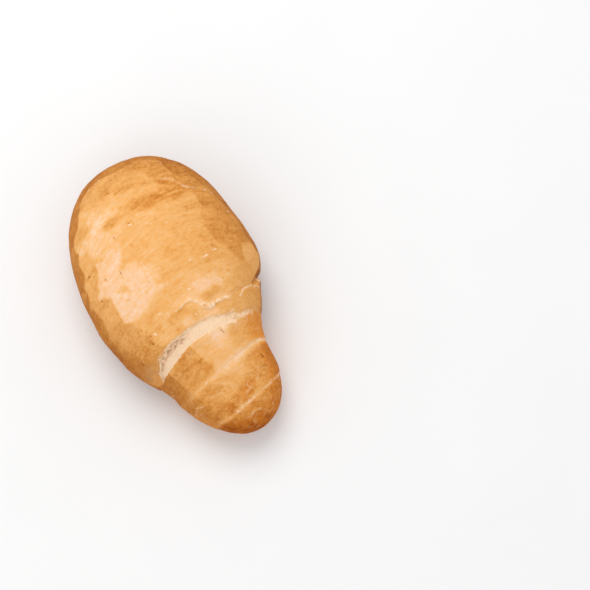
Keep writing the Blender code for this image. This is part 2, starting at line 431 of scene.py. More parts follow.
PALE_STREAKS = (
    ((14.4, 20.2), (12.1, 22.8), (11.2, 26.8)), ((9.0, 29.8), (10.2, 31.0)), ((11.6, 27.6), (12.4, 30.4)),
    ((37.8, -6.2), (39.1, -9.7), (39.4, -13.1), (40.0, -16.4)),
    ((40.0, -4.0), (41.6, -1.4), (42.5, 0.9), (44.9, 1.0), (47.4, 1.3)),
    ((44.0, -8.6), (44.1, -6.2), (44.5, -3.6)), ((44.5, -15.4), (45.1, -13.9), (45.3, -12.9)),
    ((57.2, 0.5), (57.2, 2.6), (56.3, 5.1), (56.4, 7.5)), ((49.1, 4.9), (48.1, 7.5), (46.4, 6.7)),
    ((8.8, -2.0), (9.6, -5.4)), ((-4.9, 13.0), (-4.5, 15.8)), ((-5.4, 9.0), (-5.4, 10.2)),
    ((-27.2, 0.2), (-26.2, 2.0)), ((-30.0, -6.4), (-29.5, -5.2)), ((-11.4, -6.4), (-10.9, -5.4)),
    ((7.7, -11.5), (7.9, -10.3)), ((-5.7, 18.9), (-5.5, 19.9)), ((-8.1, -4.0), (-7.7, -3.0)),
    ((-13.3, 7.8), (-13.1, 8.6)), ((13.2, -16.8), (13.4, -16.2)), ((-23.7, 7.5), (-23.3, 8.1)),
    ((4.1, 2.8), (4.9, 3.6)), ((-2.0, -6.2), (-1.2, -4.6)), ((43.3, 1.5), (45.4, 1.2), (47.4, 1.2)),
    ((46.0, 5.8), (45.3, 7.7)), ((48.6, 5.2), (47.8, 7.0), (47.0, 9.0)),
    ((41.5, 6.8), (41.6, 8.6), (42.0, 11.4)), ((56.4, 4.0), (56.0, 5.9)), ((57.4, 1.6), (56.7, 3.3)),
    ((52.9, 9.1), (53.0, 7.7)), ((53.7, 1.1), (54.7, 1.7)), ((42.3, -1.5), (42.3, 1.0), (43.6, 1.6)),
    ((38.0, -5.7), (38.5, -3.8)), ((44.2, -8.5), (44.4, -7.3)), ((44.4, 12.6), (45.9, 11.2)),
    ((38.6, -8.8), (37.8, -7.0)),
)
PORES = (
    (-30.4, -5.1, 0.40), (-30.9, -6.4, 0.40), (-21.7, -8.8, 0.50), (-13.1, -5.9, 0.35),
    (-28.2, -13.6, 0.30), (-27.0, 4.1, 0.35), (-26.6, 17.7, 0.40), (-12.9, 17.1, 0.50),
    (-12.2, 17.9, 0.40), (-10.4, 17.3, 0.40), (-7.4, 19.6, 0.45), (-6.0, 21.0, 0.40), (3.7, 20.7, 0.40),
    (-15.3, -24.2, 0.50), (-5.3, -9.4, 0.35), (-4.4, -14.1, 0.45), (-2.4, -11.9, 0.30),
    (-5.6, -17.3, 0.35), (5.5, -20.6, 0.50), (7.0, -20.0, 0.35), (9.5, -20.7, 0.35), (10.9, -19.2, 0.40),
    (13.1, -18.3, 0.30), (15.4, -16.4, 0.30), (16.2, -7.9, 0.50), (16.1, -19.1, 0.80),
    (-21.8, -23.6, 0.30), (-11.7, -17.5, 0.40), (-20.2, -30.7, 0.45), (13.9, 10.2, 0.50),
    (13.4, 8.2, 0.35), (12.5, 5.6, 0.35), (5.8, 17.3, 0.35), (-47.8, -7.7, 0.40), (47.0, -3.8, 0.40),
    (26.0, -8.0, 0.40), (-15.0, 29.3, 0.40), (19.3, 6.5, 0.30), (18.3, 8.8, 0.25), (19.3, 12.7, 0.25),
    (20.1, 14.9, 0.30), (21.4, 14.5, 0.35), (21.2, 10.4, 0.22), (21.8, 4.8, 0.22), (20.0, 13.6, 0.20),
)
SLITS = (
    ((-14.9, -17.6), (-13.3, -17.5), 0.30), ((-20.2, -30.7), (-20.8, -28.7), 0.35),
    ((-9.0, -29.4), (-8.6, -27.9), 0.35), ((-13.7, 29.0), (-12.1, 28.3), 0.40),
    ((-12.0, 28.3), (-10.9, 28.5), 0.40), ((-30.9, -6.4), (-30.4, -5.3), 0.25),
    ((22.9, 7.2), (24.6, 8.0), 0.35), ((37.2, 17.5), (38.9, 17.9), 0.62),
)
PORE_DEPTH, SLIT_DEPTH = 0.00035, 0.00025
PIT_EDGE, HALO_EDGE, SLIT_SPREAD = (0.1, 1.1), (0.6, 3.2), 1.1
TOP_FACING = (0.0, 0.25)


# %% How far each point is from a mark
def distance_to_route(x, y, route):
    """The distance in millimetres to a route of straight stretches, seen from above."""
    nearest = np.full(x.shape, np.inf)
    for (x0, y0), (x1, y1) in zip(route, route[1:]):
        run, rise = x1 - x0, y1 - y0
        share = ((x - x0) * run + (y - y0) * rise) / (run * run + rise * rise)
        share = np.clip(share, 0.0, 1.0)
        nearest = np.minimum(nearest, np.hypot(x - x0 - share * run, y - y0 - share * rise))
    return nearest


def inside_outline(x, y, outline, edge):
    """1 inside a closed outline and 0 outside, in millimetres, with a soft edge."""
    closed = outline + outline[:1]
    inside = np.zeros(x.shape, dtype=bool)
    for (x0, y0), (x1, y1) in zip(closed, closed[1:]):
        if y0 != y1:
            crossing = x0 + (y - y0) * (x1 - x0) / (y1 - y0)
            inside ^= ((y0 > y) != (y1 > y)) & (x < crossing)
    distance = distance_to_route(x, y, closed)
    return ramp(np.where(inside, distance, -distance), -edge, edge)


def line_mark(x, y, route, half_width):
    """1 on the line and 0 from its half width on, in millimetres."""
    return fall(distance_to_route(x, y, route), 0.0, half_width)


def any_line(x, y, routes, half_width):
    """1 on any of the lines and 0 from their half width on."""
    return np.maximum.reduce([line_mark(x, y, route, half_width) for route in routes])


def round_mark(x, y, centre, radius, edge):
    """1 in the middle of a round mark and 0 outside. Its edge is in shares of the radius."""
    distance = np.hypot(x - centre[0], y - centre[1])
    return fall(distance, edge[0] * radius, edge[1] * radius)


centred, normals = read_points(roll_mesh), read_normals(roll_mesh)
mark_x, mark_y = centred[:, 0] / MM, centred[:, 1] / MM
on_top = ramp(normals[:, 2], *TOP_FACING)
pits, halos, slits = 0.0, 0.0, 0.0
for pore_x, pore_y, radius in PORES:
    pits = np.maximum(pits, round_mark(mark_x, mark_y, (pore_x, pore_y), radius, PIT_EDGE))
    halos = np.maximum(halos, round_mark(mark_x, mark_y, (pore_x, pore_y), radius, HALO_EDGE))
for start, end, half_width in SLITS:
    slits = np.maximum(slits, line_mark(mark_x, mark_y, (start, end), SLIT_SPREAD * half_width))
pits, slits, halos = pits * on_top, slits * on_top, halos * on_top
print("pore points:", int((pits > 0.5).sum()), "slit points:", int((slits > 0.5).sum()))

# %% [markdown]
# ## Pressing the marks in
#
# A line drawn by hand looks ruled on bread, so the marks are read at places that waver
# a little. The wrinkle stands up and has a valley at its foot, pores and slits are
# pressed in, and three sizes of blister roughen the whole crust. All of it could be
# bump in the shader, but real relief also shows at the outline and in the exported mesh.

# %% Press the marks into the crust
WRINKLE_RISE, WRINKLE_VALLEY = 0.00042, 0.00025
LOW_WRINKLE_SHARE, STREAK_SHARE = 0.6, 0.3
CREASE_DEPTH, CREASE_LIP = 0.00025, 0.00020
BLISTERS = ((0.0090, 0.00022, 3), (0.0032, 0.00007, 5), (0.0011, 0.000018, 7))
BLISTER_HEIGHTS = (0.0003, 0.0030)
WAVER_X, WAVER_Y = (0.0035, 0.8, 11), (0.0030, 0.5, 13)
WRINKLE_HALF_WIDTH, CREASE_HALF_WIDTH, STREAK_HALF_WIDTH = 1.3, 1.0, 0.9
SKIRT_HALF_WIDTH, SKIRT_SHIFT, FOOT_SHIFT, PAD_EDGE = 3.2, 1.0, 1.2, 0.5


def wavering(places, waver):
    """The places in millimetres, pushed by noise of this size, reach and seed."""
    size, reach, seed = waver
    return places + reach * smooth_noise(centred, size, seed)


warp_x, warp_y = wavering(mark_x, WAVER_X), wavering(mark_y, WAVER_Y)
wrinkle = line_mark(warp_x, warp_y, WRINKLE, WRINKLE_HALF_WIDTH)
wrinkle_skirt = line_mark(warp_x + SKIRT_SHIFT, warp_y, WRINKLE, SKIRT_HALF_WIDTH)
wrinkle_foot = line_mark(warp_x - FOOT_SHIFT, warp_y, WRINKLE, WRINKLE_HALF_WIDTH)
low_wrinkle = line_mark(warp_x, warp_y, LOW_WRINKLE, WRINKLE_HALF_WIDTH)
wrinkle_pad = inside_outline(warp_x, warp_y, WRINKLE_PAD, PAD_EDGE)
crease = line_mark(warp_x, warp_y, CREASE, CREASE_HALF_WIDTH)
crease_ridge = line_mark(warp_x, warp_y, CREASE_RIDGE, CREASE_HALF_WIDTH)
pale_streaks = any_line(mark_x, mark_y, PALE_STREAKS, STREAK_HALF_WIDTH)
raised = np.maximum(wrinkle, wrinkle_pad) + LOW_WRINKLE_SHARE * low_wrinkle
press = WRINKLE_RISE * (raised + STREAK_SHARE * pale_streaks) - WRINKLE_VALLEY * wrinkle_foot
press = press + CREASE_LIP * crease_ridge - CREASE_DEPTH * crease
press = (press - PORE_DEPTH * pits - SLIT_DEPTH * slits) * on_top
above_base = ramp(centred[:, 2], *BLISTER_HEIGHTS)
for size, height, seed in BLISTERS:
    press = press + height * smooth_noise(centred, size, seed) * above_base
final_points = centred + press[:, None] * normals
final_points[:, 2] = np.maximum(final_points[:, 2], 0.0)
write_points(roll_mesh, final_points)
print("marks move the crust by", round(float(np.abs(press).max()) / MM, 2), "mm at most")

# %% [markdown]
# ## Browning, with painted shade and a painted highlight
#
# The crust's colour is one number for each point, from 0 for pale dough to 1 for dark
# brown, and a second one says how orange it is, or how grey when it is below 0. Besides
# the browning, the first number carries painted shade on the slopes, the rims and the
# wraps' side facets, and a painted highlight on the pale patch. Each patch pulls it towards
# its own level inside an outline, with a crisp edge where the crust stretched like a plate
# and a soft one where it didn't.

# %% Browning and painted shade by slope
# The crown is lighter towards -Y and darker towards +Y, the side away from the light: partly browning,
# partly painted shade.
CROWN_BAKE_AND_SHADE = ((-24.0, 0.33), (-8.0, 0.35), (8.0, 0.385), (20.0, 0.44))
SLOPE_BAKE_AND_SHADE = ((0.00, 0.0), (0.15, 0.01), (0.35, 0.04), (0.60, 0.08), (0.90, 0.14), (1.30, 0.24))
CROWN_ORANGE = 0.15

# Steeper crust is darker: partly browner sides, partly painted shade where the crust turns away from the
# top.
steepness = 1.0 - smooth_normals[:, 2]
slope_bake_and_shade = straight_along(steepness, SLOPE_BAKE_AND_SHADE)
bake_and_painted_light, orange = straight_along(mark_y, CROWN_BAKE_AND_SHADE) + slope_bake_and_shade, CROWN_ORANGE
print("the slopes add", round(float(slope_bake_and_shade.max()), 2), "to the browning at most")


def pull(values, share, level):
    """Move the values towards a level, as far as the share says."""
    return values + share * (level - values)


# %% Outlined zones of the body, in millimetres: browning, painted shade and a painted highlight
CROWN = (
    (-24.1, -30.4), (-28.0, -30.8), (-31.6, -28.8), (-32.8, -29.7), (-35.6, -29.6), (-38.5, -27.8),
    (-41.0, -24.7), (-46.4, -22.3), (-50.2, -19.9), (-53.3, -16.5), (-55.0, -12.6), (-56.4, -9.3),
    (-55.8, -6.0), (-55.7, -1.5), (-54.7, 3.0), (-56.6, 8.0), (-55.2, 12.6), (-52.2, 17.5), (-47.8, 17.9),
    (-43.1, 19.5), (-42.3, 23.9), (-39.0, 26.5), (-34.8, 27.8), (-32.1, 29.5), (-28.1, 30.3),
    (-25.7, 31.8), (-20.3, 32.7), (-15.4, 33.9), (-12.6, 34.1), (-6.4, 34.4), (1.0, 36.0), (12.0, 33.0),
    (30.0, 40.0), (70.0, 40.0), (70.0, -40.0), (28.0, -29.0), (18.8, -29.7), (10.2, -32.7), (6.6, -32.9),
    (3.3, -33.1), (-2.7, -32.6), (-7.7, -33.7), (-11.3, -35.0), (-12.9, -33.1), (-16.7, -33.0),
    (-19.0, -33.0), (-21.5, -31.2),
)
# The plates along the rims and sides are darker than the crown: partly browner crust, partly painted shade
# where the crust turns away from the light.
UPPER_LEFT = (
    (-66.0, -24.0), (-46.8, -21.7), (-45.0, -18.0), (-46.0, -13.5), (-47.2, -9.9), (-44.1, -2.6),
    (-41.6, 4.5), (-42.0, 10.5), (-48.4, 8.5), (-50.0, 16.0), (-66.0, 12.0),
)
TOP_PLATE = (
    (-54.5, 2.5), (-52.9, 6.3), (-48.4, 8.5), (-45.2, 10.5), (-43.7, 13.5), (-41.3, 17.7), (-37.9, 19.9),
    (-43.0, 20.0), (-48.0, 18.5), (-53.0, 17.8), (-58.0, 10.0),
)
BROWN_AND_SHADED_SIDE = (
    (-48.0, 17.0), (-41.3, 17.7), (-37.4, 20.0), (-34.0, 23.0), (-29.0, 23.6), (-25.2, 23.3), (-22.0, 21.6),
    (-18.3, 21.4), (-16.1, 20.6), (-13.4, 20.9), (-10.4, 21.4), (-7.6, 22.2), (-5.8, 23.6), (-2.5, 25.4),
    (0.4, 27.0), (3.4, 29.4), (7.1, 31.0), (7.0, 44.0), (-66.0, 44.0),
)
RIGHT_PLATE = (
    (-42.1, 24.0), (-36.0, 21.4), (-34.4, 25.2), (-30.6, 29.7), (-26.5, 28.4), (-22.3, 28.1),
    (-19.5, 31.3), (-15.9, 31.1), (-13.7, 28.9), (-11.2, 28.5), (-7.3, 30.8), (-3.0, 31.6), (3.0, 33.0),
    (3.0, 44.0), (-50.0, 44.0),
)
CHEEK_PLATE = ((-5.2, 31.3), (-1.0, 29.2), (2.4, 28.8), (5.3, 30.1), (9.0, 31.0), (9.0, 42.0), (-3.0, 38.0))
LEFT_PLATE = (
    (-29.4, -26.1), (-26.4, -24.4), (-23.3, -24.9), (-20.8, -25.0), (-17.6, -26.0), (-15.6, -27.8),
    (-12.3, -28.5), (-10.8, -30.3), (-12.9, -33.1), (-16.7, -33.0), (-19.0, -33.0), (-24.0, -31.0),
    (-28.4, -30.4),
)
LEFT_PLATE_DARK = (
    (-22.7, -26.0), (-20.8, -25.0), (-17.6, -26.0), (-15.6, -27.8), (-12.3, -28.5), (-10.8, -30.3),
    (-12.8, -31.8), (-15.9, -30.4), (-18.4, -30.7), (-20.9, -28.5),
)
LOW_PLATE = (
    (-12.0, -32.6), (-10.8, -30.3), (-8.8, -27.4), (-7.4, -25.1), (-4.7, -25.2), (0.9, -25.4), (5.5, -24.0),
    (8.0, -34.0), (-12.0, -37.0),
)
OCHRE_PLATES = (
    ((-34.9, -28.6), (-35.9, -24.6), (-36.0, -20.6), (-38.6, -21.2), (-40.4, -24.4), (-38.2, -27.4)),
    ((-33.6, -15.4), (-33.2, -12.0), (-34.8, -8.0), (-36.6, -9.4), (-35.4, -13.0)),
    ((-46.8, -19.8), (-44.8, -18.0), (-46.8, -9.6), (-50.2, -10.4), (-51.2, -17.0)),
)
LOW_SIDE = (
    (2.0, -25.4), (4.8, -22.4), (7.3, -21.4), (10.5, -21.0), (12.8, -18.9), (15.9, -17.4), (17.8, -15.4),
    (20.0, -14.0), (34.0, -20.0), (30.0, -44.0), (0.0, -44.0), (1.0, -33.0),
)
LOWEST_SIDE = ((2.0, -44.0), (6.0, -33.0), (13.0, -29.0), (20.0, -25.0), (30.0, -28.0), (30.0, -44.0))
PALE_ARM = (
    (-31.3, -27.9), (-31.6, -24.8), (-32.7, -21.3), (-34.2, -18.3), (-31.0, -14.0), (-27.6, -14.0),
    (-23.0, -12.0), (-20.0, -16.0), (-23.5, -22.0), (-26.4, -24.0),
)
# The pale patch is paler crust, and in part a painted highlight of the crust's sheen.
PALE_PATCH_AND_HIGHLIGHT = (
    (-23.3, -24.7), (-22.6, -21.3), (-24.1, -18.8), (-24.3, -15.6), (-21.3, -13.9), (-18.4, -15.1),
    (-16.6, -15.4), (-15.6, -12.4), (-14.1, -10.2), (-12.3, -10.6), (-10.8, -5.4), (-9.6, -6.8),
    (-8.1, -5.2), (-5.2, -5.0), (-4.8, -7.2), (-3.2, -7.2), (-1.4, -4.2), (-0.4, -6.6), (0.6, -10.0),
    (3.8, -15.4), (4.4, -19.9), (4.6, -22.9), (3.3, -25.5), (0.6, -25.4), (-1.8, -25.0), (-4.7, -25.3),
    (-7.2, -25.1), (-8.8, -27.4), (-9.8, -30.2), (-10.8, -30.3), (-12.3, -28.5), (-15.6, -27.7),
    (-17.6, -26.0), (-20.6, -25.1),
)
ISLAND = (
    (-8.4, -22.6), (-8.9, -19.8), (-8.6, -17.8), (-6.8, -17.7), (-5.4, -16.9), (-6.2, -19.2),
    (-7.0, -21.4),
)
SECOND_PATCH = (
    (2.4, 4.9), (0.8, 7.2), (0.8, 9.8), (2.0, 12.4), (3.4, 14.4), (5.0, 16.2), (6.4, 17.0), (8.0, 16.0),
    (7.4, 11.6), (8.1, 8.0), (7.6, 5.8), (5.4, 4.4),
)
PALE_SHOULDER = (
    (-3.4, 2.6), (-2.3, 9.0), (-0.8, 14.7), (-1.0, 18.4), (2.4, 21.0), (6.0, 20.0), (8.6, 17.0),
    (8.6, 6.0), (4.0, 1.0),
)

# %% Streaks and blotches of the body, in millimetres
STREAKS = (
    (((-31.6, -27.8), (-32.1, -24.8), (-34.0, -20.6), (-36.4, -17.3), (-38.2, -13.9),
      (-38.6, -10.8)), 2.3, 0.10, -0.4),
    (((-38.6, -11.6), (-38.0, -9.0), (-37.2, -6.0)), 1.6, 0.14, -0.4),
    (((-40.6, -19.6), (-41.5, -16.8)), 1.7, 0.15, -0.5),
    (((-44.9, -21.0), (-43.6, -14.4)), 1.3, 0.30, -0.2),
    (((-45.6, -5.9), (-43.8, -3.7), (-42.4, 0.0), (-41.6, 3.2), (-40.4, 9.2)), 2.4, 0.29, 0.0),
    (((-40.2, -8.6), (-40.0, -2.7), (-38.8, 0.6)), 1.8, 0.30, 0.0),
    (((-28.1, -21.2), (-29.0, -16.9), (-30.5, -10.2)), 2.0, 0.19, -0.2),
    (((-32.2, -0.8), (-31.6, 1.4), (-29.6, 4.6)), 1.4, 0.26, 0.0),
    (((-37.4, -4.6), (-37.0, 0.9)), 2.4, 0.50, 0.6),
    (((-37.0, 0.9), (-36.2, 7.1), (-35.8, 13.6), (-34.8, 19.0)), 3.9, 0.57, 1.0),
    (((-34.2, 1.0), (-33.9, 5.9)), 2.2, 0.50, 0.8),
    (((-34.4, 4.0), (-35.4, 9.0), (-35.2, 13.0), (-34.4, 17.0)), 2.4, 0.62, 1.5),
    (((-46.5, -3.5), (-45.9, 1.2), (-45.4, 6.4)), 2.2, 0.52, 0.5),
    (((-33.8, -15.0), (-34.5, -10.7), (-35.3, -8.0)), 1.7, 0.47, 0.4),
    (((-42.9, 12.3), (-39.8, 15.6), (-36.0, 18.9)), 1.5, 0.60, 1.1),
    (((11.8, -8.4), (11.2, -4.6), (10.6, -2.2)), 1.6, 0.50, 0.4),
    (((-11.8, 2.8), (-10.9, 8.4), (-10.3, 13.4)), 2.6, 0.45, 0.6),
    (((-9.4, 3.0), (-9.0, 6.4)), 1.6, 0.45, 0.5),
    (((15.2, -2.5), (14.9, 4.4), (14.6, 8.0)), 2.4, 0.14, -0.9),
    (((-28.2, -1.8), (-27.0, 3.0)), 1.8, 0.29, -0.3), (((0.6, 14.8), (2.6, 17.8)), 1.5, 0.42, 0.1),
)
BLOTCHES = (
    (9.5, 8.9, 2.4, 0.58, -0.1), (8.8, 12.6, 2.0, 0.50, 0.1), (-10.6, 6.8, 1.1, 0.48, 0.7),
    (-10.1, 13.7, 1.1, 0.49, 0.7), (-6.2, 14.7, 1.0, 0.48, 0.7), (-14.7, 11.3, 0.9, 0.48, 0.7),
    (-13.1, 3.2, 0.9, 0.47, 0.7), (-8.4, 4.2, 1.0, 0.46, 0.6), (-11.0, 18.1, 1.1, 0.50, 0.7),
    (3.5, -3.4, 1.6, 0.44, 0.5), (9.3, 12.8, 1.8, 0.46, 0.0), (13.3, 1.2, 1.5, 0.50, 0.4),
    (12.9, -0.5, 1.3, 0.50, 0.4), (16.4, -22.9, 2.0, 0.66, 1.0), (9.4, -16.2, 2.0, 0.48, 0.6),
    (12.4, -14.4, 1.6, 0.48, 0.6), (-15.8, -15.9, 1.3, 0.40, 0.2), (-12.4, 17.2, 1.8, 0.52, 0.5),
    (-20.0, 8.4, 2.0, 0.46, 0.5), (-26.9, 4.2, 1.2, 0.46, 0.4), (30.0, -6.5, 1.8, 0.64, 0.8),
    (27.4, -10.5, 2.4, 0.60, 0.5), (34.2, -4.0, 1.5, 0.62, 1.2), (20.6, -22.2, 3.2, 0.63, 0.1),
    (23.0, -25.4, 3.0, 0.72, -0.9),
)
BEND, BEND_CHANGE = 0.18, -6.0
BRUSH_SIZE, BRUSH_STRETCH, BRUSH_MIDDLE, BRUSH_SWING = 0.0012, 0.16, 0.70, 0.80

bent_x = centred[:, 0] + centred[:, 1] * (BEND + BEND_CHANGE * centred[:, 1])
brush_places = np.stack((bent_x, BRUSH_STRETCH * centred[:, 1], BRUSH_STRETCH * centred[:, 2]), axis=-1)
brush = smooth_noise(brush_places, BRUSH_SIZE, seed=31, octaves=3)
brush_share = np.clip(BRUSH_MIDDLE + BRUSH_SWING * brush, 0.0, 1.0)
print("brush shares run from", round(float(brush_share.min()), 2), "to", round(float(brush_share.max()), 2))

# %% Pull the browning and painted shade towards each zone's level
# Outside the crown the rim is darker, and darker still towards +Y: partly browner crust, partly painted
# shade where the crust turns away from the light.
RIM_LEVEL = ((-60.0, 0.69), (-40.0, 0.655), (-8.0, 0.66), (10.0, 0.73), (30.0, 0.76))
RIM_ORANGE = ((-60.0, 0.4), (-30.0, 0.4), (0.0, 0.3), (20.0, 0.3))
RIM_DARKENING, RIM_DARKENS = 0.07, (12.0, 25.0)
CROWN_EDGE = 0.45
PATCH_SOFTNESS = straight_along(mark_y, ((-20.0, 0.5), (-13.0, 0.8), (-6.0, 2.0)))
SIDE_SOFTNESS = straight_along(mark_x, ((-12.0, 0.35), (-4.0, 0.7), (4.0, 1.6)))
ZONE_SLOPE_SHARE, STREAK_SLOPE_SHARE = 0.6, 0.5
STREAK_FULL, STREAK_END = 0.3, 1.5
BLOTCH_EDGE, BLOTCH_SHARE = (0.0, 1.5), 0.8
SKIRT_SHARE, SKIRT_BAKE, SKIRT_ORANGE_SHARE, SKIRT_ORANGE = 0.7, 0.27, 0.5, -0.2
HALO_BAKE, HALO_ORANGE = 0.05, 0.7

body_zones = (
    (PALE_SHOULDER, 3.0, 0.32, 0.0), (UPPER_LEFT, 2.6, 0.49, 0.1), (TOP_PLATE, 0.7, 0.57, 0.5),
    (BROWN_AND_SHADED_SIDE, SIDE_SOFTNESS, 0.56, 0.65), (RIGHT_PLATE, 0.6, 0.60, 0.4), (CHEEK_PLATE, 0.8, 0.40, -0.3),
    (PALE_ARM, 1.8, 0.23, -0.2), (LEFT_PLATE, 0.6, 0.40, -0.1), (LEFT_PLATE_DARK, 0.6, 0.47, -0.1),
    (LOW_PLATE, 0.6, 0.48, -0.3), (LOW_SIDE, 1.6, 0.55, -0.4), (LOWEST_SIDE, 2.0, 0.70, -0.3),
    (PALE_PATCH_AND_HIGHLIGHT, PATCH_SOFTNESS, 0.17, -0.8), (ISLAND, 0.5, 0.36, 0.0), (SECOND_PATCH, 1.5, 0.21, -0.9),
) + tuple((plate, 0.9, 0.47, -0.1) for plate in OCHRE_PLATES)


def darken_blotches(bake_and_painted_light, orange, where):
    """Darken the browning in round blotches, and lighten it in none."""
    for blotch_x, blotch_y, reach, level, tint in BLOTCHES:
        share = round_mark(warp_x, warp_y, (blotch_x, blotch_y), reach, BLOTCH_EDGE) * where
        bake_and_painted_light = pull(bake_and_painted_light, BLOTCH_SHARE * share, np.maximum(level, bake_and_painted_light))
        orange = pull(orange, share, tint)
    return bake_and_painted_light, orange


for outline, edge, level, tint in body_zones:
    share = inside_outline(warp_x, warp_y, outline, edge) * on_top
    bake_and_painted_light = pull(bake_and_painted_light, share, level + ZONE_SLOPE_SHARE * slope_bake_and_shade)
    orange = pull(orange, share, tint)
for route, half_width, level, tint in STREAKS:
    from_route = distance_to_route(warp_x, warp_y, route) / half_width
    share = fall(from_route, STREAK_FULL, STREAK_END) * brush_share * on_top
    bake_and_painted_light = pull(bake_and_painted_light, share, level + STREAK_SLOPE_SHARE * slope_bake_and_shade)
    orange = pull(orange, share, tint)
bake_and_painted_light = pull(bake_and_painted_light, SKIRT_SHARE * wrinkle_skirt * on_top, SKIRT_BAKE)
orange = pull(orange, SKIRT_ORANGE_SHARE * wrinkle_skirt, SKIRT_ORANGE)
bake_and_painted_light, orange = darken_blotches(bake_and_painted_light, orange, on_top)
crown = inside_outline(warp_x, warp_y, CROWN, CROWN_EDGE) * on_top
rim_level = straight_along(mark_x, RIM_LEVEL) + RIM_DARKENING * ramp(mark_y, *RIM_DARKENS)
bake_and_painted_light = pull(bake_and_painted_light, 1.0 - crown, rim_level + ZONE_SLOPE_SHARE * slope_bake_and_shade) + HALO_BAKE * halos
orange = pull(orange, 1.0 - crown, straight_along(mark_x, RIM_ORANGE)) + HALO_ORANGE * halos
print("body's bake runs from", round(float(bake_and_painted_light.min()), 2), "to", round(float(bake_and_painted_light.max()), 2))

# %% [markdown]
# ## Browning and painted shade of the wraps
#
# The wraps past the tear are coloured in facets. Each facet turns its own way, so each gets
# its own level and orange: partly browning and partly painted shade where it turns from the
# light, and the end of the tip gets the darkest. Beside a rolled edge the crust was covered
# while it rose, so a pale glow runs along each seam. One function works out both numbers, as
# they share their facets.

# %% Facets and blotches of the wraps, in millimetres
# The tops of the wraps are lighter and the side and rim facets darker: partly browning, partly painted
# shade where a facet turns away from the light.
SIDE_FACET = ((27.8, -18.9), (43.6, -12.2), 0.4)
TOP_FACET = ((23.4, -6.4), (37.6, -1.2), 0.4)
RIGHT_FACET = ((22.1, 9.5), (31.9, 8.0), 1.2)
RIM_FACET = ((30.0, 18.9), (47.3, 18.3), 0.6)
SIDE_FACET_ENDS, RIM_FACET_STARTS = (40.0, 50.0), (28.0, 35.0)
THIRD_LEAN, THIRD_CLIMBS, THIRD_TURNS = 0.2, (-1.0, 9.0), (9.0, 15.0)
SECOND_WRAP = ((0.54, 0.45), (0.35, -0.55), (0.43, 0.1))
THIRD_WRAP = ((0.575, 0.5), (0.48, -0.2), (0.52, 1.1))
SIDE_LEVELS, RIM_LEVELS, TIP_LEVELS = (0.685, 0.1), (0.64, 2.4), (0.61, 1.2)
RIM_SHARE, DARKEST_WRAP = 0.8, 0.87
# The palest blotches, on the second wrap next to the tear, are paler crust and in part a painted highlight
# of its gloss.
WRAP_BLOTCHES = (
    (27.6, 6.6, 4.6, 0.23, -0.6), (23.8, 4.4, 5.2, 0.09, -1.0), (23.0, 9.0, 3.0, 0.16, -0.4),
    (23.4, 0.5, 3.4, 0.24, -0.4), (33.6, 2.4, 3.0, 0.42, -0.2), (33.4, -2.2, 2.2, 0.50, 0.4),
    (35.0, -4.0, 2.2, 0.59, 1.5), (32.8, -4.4, 1.6, 0.56, 0.7), (38.6, 6.6, 3.4, 0.37, -0.9),
    (41.4, 6.6, 2.6, 0.42, -0.4), (37.6, 2.2, 3.0, 0.42, -0.5), (46.6, 7.6, 3.8, 0.60, 2.2),
    (48.3, 4.0, 3.6, 0.62, 2.2), (48.4, 1.0, 2.8, 0.62, 1.9), (49.2, 6.8, 2.4, 0.64, 2.4),
    (51.2, 4.0, 2.4, 0.63, 2.2), (44.4, 12.6, 3.2, 0.60, 0.9), (42.0, 16.0, 3.2, 0.58, 0.6),
    (39.6, 15.0, 2.4, 0.58, 0.8), (51.6, -3.2, 4.6, 0.74, 2.3), (49.8, -0.2, 2.8, 0.65, 1.0),
    (50.9, -10.3, 4.2, 0.73, 0.9), (48.0, -13.0, 4.0, 0.75, 0.4), (49.2, -7.1, 3.0, 0.66, 0.7),
    (54.9, -0.1, 2.4, 0.65, 0.3), (52.5, 10.7, 2.4, 0.62, 0.4), (60.8, 1.0, 3.0, 0.87, 2.2),
    (61.2, 9.0, 3.2, 0.86, 1.8),
)
WRAP_BLOTCH_EDGE, WRAP_BLOTCH_SHARE = (0.1, 1.1), 0.85
TIP_SLOPE_SHARE = straight_along(mark_y, ((-4.0, 3.4), (6.0, 2.3), (13.0, 0.7)))
SLOPE_ORANGE = straight_along(mark_y, ((-14.0, 0.0), (-4.0, 2.0), (4.0, 3.4)))
SLOPE_ORANGE_SLOPES = (0.15, 0.6)
WRAP_EDGE, TIP_EDGE = 0.0003, 0.0006


# %% Browning, painted shade and orange of the wraps
def left_of(facet):
    """1 to the left of a facet's edge and 0 to its right, in millimetres."""
    (x0, y0), (x1, y1), softness = facet
    distance = ((x1 - x0) * (mark_y - y0) - (y1 - y0) * (mark_x - x0)) / math.hypot(x1 - x0, y1 - y0)
    return ramp(distance, -softness, softness)


def past_edge(whole, softness=WRAP_EDGE):
    """1 past the rolled edge on this whole turn and 0 before it."""
    return ramp(stations - along(turns + whole, EDGE_ROUTE), -WRAP_EDGE, softness)


on_wraps, on_third_wrap, on_tip = past_edge(0), past_edge(1), past_edge(2, TIP_EDGE)
past_top, past_right = left_of(TOP_FACET), left_of(RIGHT_FACET)
third_climb = ramp(mark_y + THIRD_LEAN * mark_x, *THIRD_CLIMBS)
third_turn = ramp(mark_y, *THIRD_TURNS)
low_facet = (1.0 - left_of(SIDE_FACET)) * fall(mark_x, *SIDE_FACET_ENDS)
past_rim = left_of(RIM_FACET) * ramp(mark_x, *RIM_FACET_STARTS)


